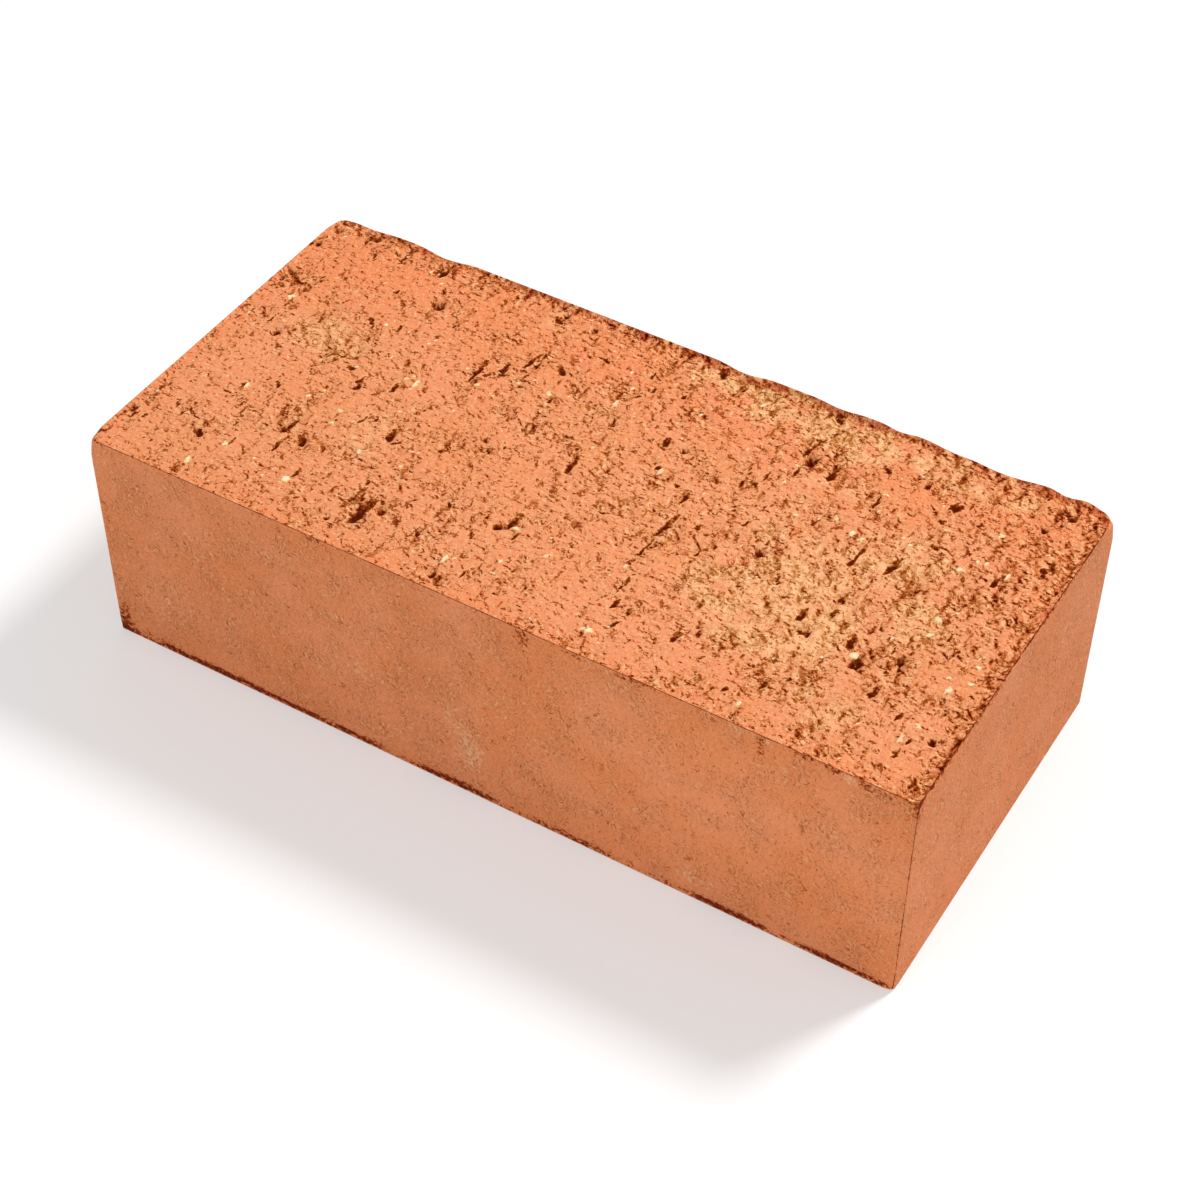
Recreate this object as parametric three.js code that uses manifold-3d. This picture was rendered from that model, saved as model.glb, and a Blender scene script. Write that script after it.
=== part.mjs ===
// A solid clay brick: one piece of clay that was pressed through a die, cut to its height by
// wires and fired. Millimetres, +Z up. X runs along the brick, Y from its near side to its far
// side, and the origin is the middle of the bed that it lies on.
// The four upright faces are smooth die skin. The beds are wire cuts, and the upper one is
// torn: grit pulled out of it and left pits, was dragged along and left gouges, and tore off
// the clay over wider hollows. Its far arris and two of its corners are rubbed round.
import * as THREE from "three";
import { mergeVertices } from "three/addons/utils/BufferGeometryUtils.js";
import Module from "manifold-3d";

const wasm = await Module();
wasm.setup();

// The fired size
const length = 194;
const width = 92;
const height = 57;
const size = new THREE.Vector3(length, width, height);

// Every arris and corner is rounded by the same small radius, and further where it is rubbed
const arrisRadius = 0.4;

// Mesh of the block: rows beside each arris, as multiples of the arris radius, and how far
// apart the rows along the brick may be, which lets the rubbed arris wave
const arrisRows = [0, 1, 4, 10];
const rowSpacing = 5;

// A place is [along, across, up] as shares of the length, the width and the height, from the
// left end, the near side and the lower bed. Each rub adds its radius to the arris radius
// there, and fades out at its reach.
const rubs = [
  { at: [0, 0, 1], radius: 1.5, reach: 5.5 },
  { at: [1, 0, 0], radius: 0.7, reach: 3 },
  { at: [0, 1, 1], radius: 1.7, reach: 6.5 },
  { at: [0.045, 1, 1], radius: 1.2, reach: 9 },
  { at: [0.153, 1, 1], radius: 1.8, reach: 8.5 },
  { at: [0.553, 1, 1], radius: 1.7, reach: 7.5 },
  { at: [0.673, 1, 1], radius: 1.1, reach: 7 },
  { at: [0.745, 1, 1], radius: 1.1, reach: 5 },
  { at: [0.809, 1, 1], radius: 1.2, reach: 7 },
  { at: [0.868, 1, 1], radius: 2.3, reach: 13 },
  { at: [0.943, 1, 1], radius: 1.5, reach: 5 },
  { at: [1, 1, 1], radius: 2.8, reach: 8 },
];

// Pits that pulled-out grit left in the upper bed. Each is [along, across, times], where the
// last number multiplies the radius and the depth of a usual pit.
const pitRadius = 1.1;
const pitDepth = 1.4;
const pits = [
  [0.012, 0.745, 1], [0.044, 0.712, 1.1], [0.067, 0.962, 1.3], [0.064, 0.538, 1.1],
  [0.095, 0.155, 0.9], [0.17, 0.266, 1.1], [0.201, 0.245, 1.2], [0.196, 0.826, 1.7],
  [0.293, 0.071, 0.8], [0.337, 0.15, 1.1], [0.33, 0.957, 1], [0.434, 0.046, 0.9],
  [0.454, 0.245, 1], [0.472, 0.668, 0.9], [0.56, 0.677, 1.1], [0.581, 0.568, 0.8],
  [0.671, 0.623, 0.7], [0.684, 0.804, 1.3], [0.705, 0.478, 1.3], [0.756, 0.247, 0.8],
  [0.861, 0.283, 1.2], [0.9, 0.348, 1.1], [0.946, 0.87, 1.2], [0.974, 0.17, 1],
];

// Gouges that dragged grit left across the upper bed. Each is [along, across, times, turn]:
// the third number multiplies the usual length, and the last turns it, in degrees.
const gougeLength = 6;
const gougeWidth = 1.6;
const gougeDepth = 0.9;
const gouges = [
  [0.297, 0.674, 1.6, 0], [0.322, 0.707, 1, 0], [0.376, 0.775, 0.8, 45], [0.317, 0.136, 1.8, -4],
  [0.277, 0.377, 0.9, 8], [0.465, 0.277, 1.1, -4], [0.469, 0.505, 1.1, 6], [0.53, 0.97, 0.8, 38],
  [0.538, 0.685, 0.7, 0], [0.607, 0.413, 2.6, -4], [0.675, 0.967, 0.8, 40], [0.678, 0.87, 1.4, -10],
  [0.714, 0.793, 1.1, 0], [0.785, 0.359, 0.7, 4], [0.794, 0.606, 1.4, 0], [0.832, 0.582, 1, 0],
  [0.844, 0.359, 1, 2], [0.852, 0.815, 1, -8], [0.895, 0.234, 1.2, -4], [0.693, 0.155, 0.7, 0],
];

// Hollows where the wire tore the clay off, as [along, across, length, width] in usual lengths
const hollowSpan = 10;
const hollowDepth = 0.5;
const hollows = [
  [0.784, 0.326, 4.6, 3.4],
  [0.67, 0.913, 5.6, 1.3],
  [0.088, 0.641, 1.6, 1.2],
];

// Tears of the die skin beside an arris, as [centre along the face, length in usual lengths]:
// the wire left them low on the near side and high on the right end
const tearSpan = 10;
const tearDepth = 0.45;
const tearWidth = 1.5;
const tearFromArris = 1.2;
const nearTears = [[0.06, 1.8], [0.19, 3], [0.33, 1.6], [0.465, 2.6], [0.62, 2.4], [0.83, 3.4], [0.93, 1.2]];
const endTears = [[0.1, 1.4], [0.31, 2.6], [0.66, 3.4]];

// A closed manifold solid of a three.js geometry
function toSolid(geometry) {
  geometry.deleteAttribute("normal");
  geometry.deleteAttribute("uv");
  const merged = mergeVertices(geometry, 1e-4);
  return new wasm.Manifold(
    new wasm.Mesh({
      numProp: 3,
      vertProperties: merged.attributes.position.array,
      triVerts: Uint32Array.from(merged.index.array),
    }),
  );
}

// A three.js geometry of a manifold solid
function toGeometry(solid) {
  const mesh = solid.getMesh();
  const geometry = new THREE.BufferGeometry();
  geometry.setAttribute("position", new THREE.BufferAttribute(mesh.vertProperties, mesh.numProp));
  geometry.setIndex(new THREE.BufferAttribute(mesh.triVerts, 1));
  geometry.computeVertexNormals();
  return geometry;
}

// Where the mesh of the block has its rows on one axis: close beside both arrises, and evenly
// between them where the spacing calls for it
function rowsAcross(span, spacing) {
  const lower = arrisRows.map((row) => row * arrisRadius - span / 2);
  const upper = lower.map((row) => -row).reverse();
  const start = lower[lower.length - 1];
  const count = Math.ceil((upper[0] - start) / spacing);
  const step = (upper[0] - start) / count;
  const between = Array.from({ length: count - 1 }, (_, i) => start + (i + 1) * step);
  return [...lower, ...between, ...upper];
}

// The edge radius at a point of the block
function edgeRadius(point) {
  let radius = arrisRadius;
  for (const rub of rubs) {
    const away = rub.at.map((share, axis) => point[axis] - (share - 0.5) * size.getComponent(axis));
    const share = Math.min(Math.hypot(...away) / rub.reach, 1);
    radius += (rub.radius * (1 + Math.cos(Math.PI * share))) / 2;
  }
  return radius;
}

// The block before the wire tears it: each point of a box's grid is put at the edge radius
// from a core that is smaller than the box by that radius
function makeBlock() {
  const rows = [
    rowsAcross(length, rowSpacing),
    rowsAcross(width, width),
    rowsAcross(height, height),
  ];
  const geometry = new THREE.BoxGeometry(1, 1, 1, ...rows.map((line) => line.length - 1));
  const position = geometry.attributes.position;
  for (let i = 0; i < position.count; i++) {
    const point = rows.map((line, axis) => {
      const share = position.getComponent(i, axis) + 0.5;
      return line[Math.round(share * (line.length - 1))];
    });
    const radius = edgeRadius(point);
    const core = new THREE.Vector3(...point).clamp(
      size.clone().multiplyScalar(-0.5).addScalar(radius),
      size.clone().multiplyScalar(0.5).subScalar(radius),
    );
    const rounded = new THREE.Vector3(...point).sub(core).setLength(radius).add(core);
    position.setXYZ(i, ...rounded);
  }
  geometry.translate(0, 0, height / 2);
  return toSolid(geometry);
}

// A stretched ball to scoop out of the block. Its centre lies outside the face by a share of
// its depth, so that its rim slopes.
const rimLift = 0.3;
function makeScoop(center, halfSizes, turn = 0) {
  const geometry = new THREE.SphereGeometry(1, 8, 6);
  geometry.scale(...halfSizes);
  geometry.rotateZ(THREE.MathUtils.degToRad(turn));
  geometry.translate(...center);
  return toSolid(geometry);
}

// A scoop in the upper bed, with its half length along X and its half width along Y
function scoopBed(along, across, halfAlong, halfAcross, depth, turn) {
  const center = [(along - 0.5) * length, (across - 0.5) * width, height + rimLift * depth];
  return makeScoop(center, [halfAlong, halfAcross, (1 + rimLift) * depth], turn);
}

function makeScoops() {
  const halfPit = (times) => pitRadius * times;
  const halfSpan = (times) => (hollowSpan * times) / 2;
  const tearOut = rimLift * tearDepth;
  const tearIn = (1 + rimLift) * tearDepth;
  return [
    ...pits.map(([along, across, times]) =>
      scoopBed(along, across, halfPit(times), halfPit(times), pitDepth * times)),
    ...gouges.map(([along, across, times, turn]) =>
      scoopBed(along, across, gougeWidth / 2, (gougeLength * times) / 2, gougeDepth, turn)),
    ...hollows.map(([along, across, spanAlong, spanAcross]) =>
      scoopBed(along, across, halfSpan(spanAlong), halfSpan(spanAcross), hollowDepth)),
    ...nearTears.map(([along, times]) =>
      makeScoop(
        [(along - 0.5) * length, -width / 2 - tearOut, tearFromArris],
        [(tearSpan * times) / 2, tearIn, tearWidth / 2],
      )),
    ...endTears.map(([across, times]) =>
      makeScoop(
        [length / 2 + tearOut, (across - 0.5) * width, height - tearFromArris],
        [tearIn, (tearSpan * times) / 2, tearWidth / 2],
      )),
  ];
}

const clay = new THREE.MeshStandardMaterial({ color: 0xd98558, roughness: 0.92, metalness: 0 });
const brickSolid = makeScoops().reduce((solid, scoop) => solid.subtract(scoop), makeBlock());
const brick = new THREE.Mesh(toGeometry(brickSolid), clay);
brick.name = "brick";

const model = new THREE.Group();
model.add(brick);

export default model;
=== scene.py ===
# A solid clay brick on a pale studio floor. Its four upright sides are smooth die skin, and
# both beds are wire cuts that the wire tore. Lengths are millimetres until the mesh is made.
from math import radians

import bpy
import numpy as np
from mathutils import Matrix, Vector


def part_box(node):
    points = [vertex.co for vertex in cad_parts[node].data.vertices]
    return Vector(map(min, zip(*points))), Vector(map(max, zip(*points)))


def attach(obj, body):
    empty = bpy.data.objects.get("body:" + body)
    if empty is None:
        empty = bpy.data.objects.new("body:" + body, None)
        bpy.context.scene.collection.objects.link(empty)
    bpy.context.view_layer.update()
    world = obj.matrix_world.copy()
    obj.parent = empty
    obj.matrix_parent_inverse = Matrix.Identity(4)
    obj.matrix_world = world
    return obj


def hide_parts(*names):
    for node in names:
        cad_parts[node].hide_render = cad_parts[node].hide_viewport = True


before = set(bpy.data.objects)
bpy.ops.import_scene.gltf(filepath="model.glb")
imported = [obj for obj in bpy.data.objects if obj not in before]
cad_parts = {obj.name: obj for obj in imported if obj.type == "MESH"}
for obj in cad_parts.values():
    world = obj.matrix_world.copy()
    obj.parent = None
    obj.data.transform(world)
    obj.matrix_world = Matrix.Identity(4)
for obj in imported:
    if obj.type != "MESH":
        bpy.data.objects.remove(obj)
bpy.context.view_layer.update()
mm = 0.001
lowCorner, highCorner = (np.array(corner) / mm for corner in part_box("brick"))
size = highCorner - lowCorner
length, width, height = size
print(f"frame: a brick of {length:.0f} x {width:.0f} x {height:.0f} mm")


cameraSettings = {
    "place": (202.04, -335.33, 410.35),
    "turn": 30.915,  # degrees to the left of straight along +Y
    "tilt": 44.89,  # degrees below level
    "roll": 0.42,
    "lens": 76.29,
    "sensor": 36,
}

lightSettings = {
    "skyStrength": 0.47,
    # each lamp: direction towards it, distance, width, and the light it gives the upper bed,
    # where 1 shows a colour as it is written
    "lamps": {
        "key": ((0.3, 0.5, 0.83), 1500.0, 300.0, 0.56),  # behind, a little right, high
        "fill": ((-0.1, -0.83, 0.55), 1800.0, 900.0, 0.1),  # in front, low
    },
    "floorWidth": 9000.0,
    "floorGrey": 0.62,
    "floorLift": 0.38,  # brings the floor up to white where nothing shades it
    "farLift": 0.71,  # the same far away, where only the sky lights it
    "liftReach": (0.5, 1.8),  # metres from the brick, from the one to the other
}

white = (1.0, 1.0, 1.0, 1.0)
origin = (0.0, 0.0, 0.0)


def makeCamera(settings):
    camera = bpy.data.cameras.new("camera")
    camera.lens = settings["lens"]
    camera.sensor_width = settings["sensor"]
    holder = bpy.data.objects.new("camera", camera)
    turn = Matrix.Rotation(radians(settings["turn"]), 4, "Z")
    tilt = Matrix.Rotation(radians(90 - settings["tilt"]), 4, "X")
    roll = Matrix.Rotation(radians(settings["roll"]), 4, "Z")
    place = Matrix.Translation(Vector(settings["place"]) * mm)
    holder.matrix_world = place @ turn @ tilt @ roll
    bpy.context.collection.objects.link(holder)
    bpy.context.scene.camera = holder


# A disc of power P lights a surface at distance d by P / (pi d^2), and pi of that is white
def makeLamp(name, towards, distance, lampWidth, share):
    lamp = bpy.data.lights.new(name, "AREA")
    lamp.shape = "DISK"
    lamp.size = lampWidth * mm
    towards = Vector(towards).normalized()
    lamp.energy = share / towards.z * np.pi**2 * (distance * mm) ** 2
    holder = bpy.data.objects.new(name, lamp)
    holder.location = towards * distance * mm
    holder.rotation_mode = "QUATERNION"
    holder.rotation_quaternion = towards.to_track_quat("Z", "Y")
    bpy.context.collection.objects.link(holder)


# A new node: each input is linked to a socket or set to a value
def addNode(tree, kind, inputs=None, **settings):
    node = tree.nodes.new(kind)
    for name, value in settings.items():
        setattr(node, name, value)
    for name, value in (inputs or {}).items():
        if isinstance(value, bpy.types.NodeSocket):
            tree.links.new(value, node.inputs[name])
        else:
            node.inputs[name].default_value = value
    return node


def calculate(tree, operation, *values, clamp=False):
    inputs = dict(enumerate(values))
    return addNode(tree, "ShaderNodeMath", inputs, operation=operation, use_clamp=clamp).outputs[0]


def minus(tree, first, second):
    return calculate(tree, "SUBTRACT", first, second)


def product(tree, first, *others):
    for other in others:
        first = calculate(tree, "MULTIPLY", first, other)
    return first


def largest(tree, first, *others):
    for other in others:
        first = calculate(tree, "MAXIMUM", first, other)
    return first


# value x times + plus
def timesPlus(tree, value, times, plus):
    return calculate(tree, "MULTIPLY_ADD", value, times, plus)


# The sum of several values, each times its weight
def weighted(tree, *pairs):
    total = 0.0
    for value, weight in pairs:
        total = timesPlus(tree, value, weight, total)
    return total


def vectorMath(tree, operation, *values):
    inputs = dict(enumerate(values))
    return addNode(tree, "ShaderNodeVectorMath", inputs, operation=operation).outputs[0]


def scaled(tree, vector, times):
    inputs = {0: vector, "Scale": times}
    return addNode(tree, "ShaderNodeVectorMath", inputs, operation="SCALE").outputs[0]


def splitVector(tree, vector):
    return addNode(tree, "ShaderNodeSeparateXYZ", {0: vector}).outputs


def splitColour(tree, colour):
    return addNode(tree, "ShaderNodeSeparateColor", {0: colour}).outputs


# A straight line from newLow, at low and below it, to newHigh, at high and above it
def ramp(tree, value, low, high, newLow=0.0, newHigh=1.0):
    inputs = {0: value, 1: low, 2: high, 3: newLow, 4: newHigh}
    return addNode(tree, "ShaderNodeMapRange", inputs, clamp=True).outputs[0]


# The first number where the share is 0, the second where it is 1
def between(tree, share, first, second):
    return ramp(tree, share, 0.0, 1.0, first, second)


def blend(tree, factor, first, second):
    inputs = {0: factor, 6: first, 7: second}
    return addNode(tree, "ShaderNodeMix", inputs, data_type="RGBA", blend_type="MIX").outputs[2]


def readAttribute(tree, name):
    return addNode(tree, "ShaderNodeAttribute", attribute_name=name).outputs["Fac"]


# A group's inputs with their first values: a number, a vector of three or a colour of four.
# Its outputs are numbers, apart from the one that is called Color.
def startGroup(name, inputs, outputs):
    tree = bpy.data.node_groups.new(name, "ShaderNodeTree")
    for label, value in inputs.items():
        kind = {1: "Float", 3: "Vector", 4: "Color"}[np.size(value)]
        socket = tree.interface.new_socket(label, in_out="INPUT", socket_type="NodeSocket" + kind)
        socket.default_value = value
    for label in outputs:
        kind = "Color" if label == "Color" else "Float"
        tree.interface.new_socket(label, in_out="OUTPUT", socket_type="NodeSocket" + kind)
    return tree, tree.nodes.new("NodeGroupInput").outputs


def endGroup(tree, results):
    addNode(tree, "NodeGroupOutput", results)
    return tree


def useGroup(tree, group, inputs):
    return addNode(tree, "ShaderNodeGroup", inputs, node_tree=group).outputs


# A colour as 0-255 screen values, turned into the linear values that a shader takes
def screen(red, green, blue):
    share = np.array([red, green, blue]) / 255
    linear = np.where(share < 0.04045, share / 12.92, ((share + 0.055) / 1.055) ** 2.4)
    return (*linear.tolist(), 1.0)


def startMaterial(name):
    material = bpy.data.materials.new(name)
    material.use_nodes = True
    material.node_tree.nodes.clear()
    return material, material.node_tree


# 1 for a ray that shows a thing, straight, in a mirror or through glass, and 0 for one that
# only brings its light
def rayShows(tree):
    path = tree.nodes.new("ShaderNodeLightPath").outputs
    return largest(tree, *(path[f"Is {kind} Ray"] for kind in ("Camera", "Glossy", "Transmission")))


def makeWorld(settings):
    world = bpy.data.worlds.new("studio")
    bpy.context.scene.world = world
    world.use_nodes = True
    tree = world.node_tree
    tree.nodes.clear()
    strength = between(tree, rayShows(tree), settings["skyStrength"], 1.0)
    sky = addNode(tree, "ShaderNodeBackground", {"Color": white, "Strength": strength})
    addNode(tree, "ShaderNodeOutputWorld", {"Surface": sky.outputs[0]})


def makeFloor(settings):
    half = settings["floorWidth"] / 2 * mm
    corners = [(-half, -half, 0), (half, -half, 0), (half, half, 0), (-half, half, 0)]
    mesh = bpy.data.meshes.new("floor")
    mesh.from_pydata(corners, [], [(0, 1, 2, 3)])
    floor = bpy.data.objects.new("floor", mesh)
    bpy.context.collection.objects.link(floor)
    material, tree = startMaterial("floorPaper")
    grey = settings["floorGrey"]
    paper = addNode(tree, "ShaderNodeBsdfDiffuse", {"Color": (grey, grey, grey, 1)})
    place = tree.nodes.new("ShaderNodeTexCoord").outputs["Object"]
    away = addNode(tree, "ShaderNodeVectorMath", {0: place}, operation="LENGTH").outputs["Value"]
    lift = ramp(tree, away, *settings["liftReach"], settings["floorLift"], settings["farLift"])
    lift = product(tree, rayShows(tree), lift)
    glow = addNode(tree, "ShaderNodeEmission", {"Color": white, "Strength": lift})
    both = addNode(tree, "ShaderNodeAddShader", {0: paper.outputs[0], 1: glow.outputs[0]})
    addNode(tree, "ShaderNodeOutputMaterial", {"Surface": both.outputs[0]})
    mesh.materials.append(material)


bpy.context.scene.view_settings.view_transform = "Standard"
makeCamera(cameraSettings)
for lampName, lampSettings in lightSettings["lamps"].items():
    makeLamp(lampName, *lampSettings)
makeWorld(lightSettings)
makeFloor(lightSettings)
print("stage: camera, lamps, sky and floor")


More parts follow.
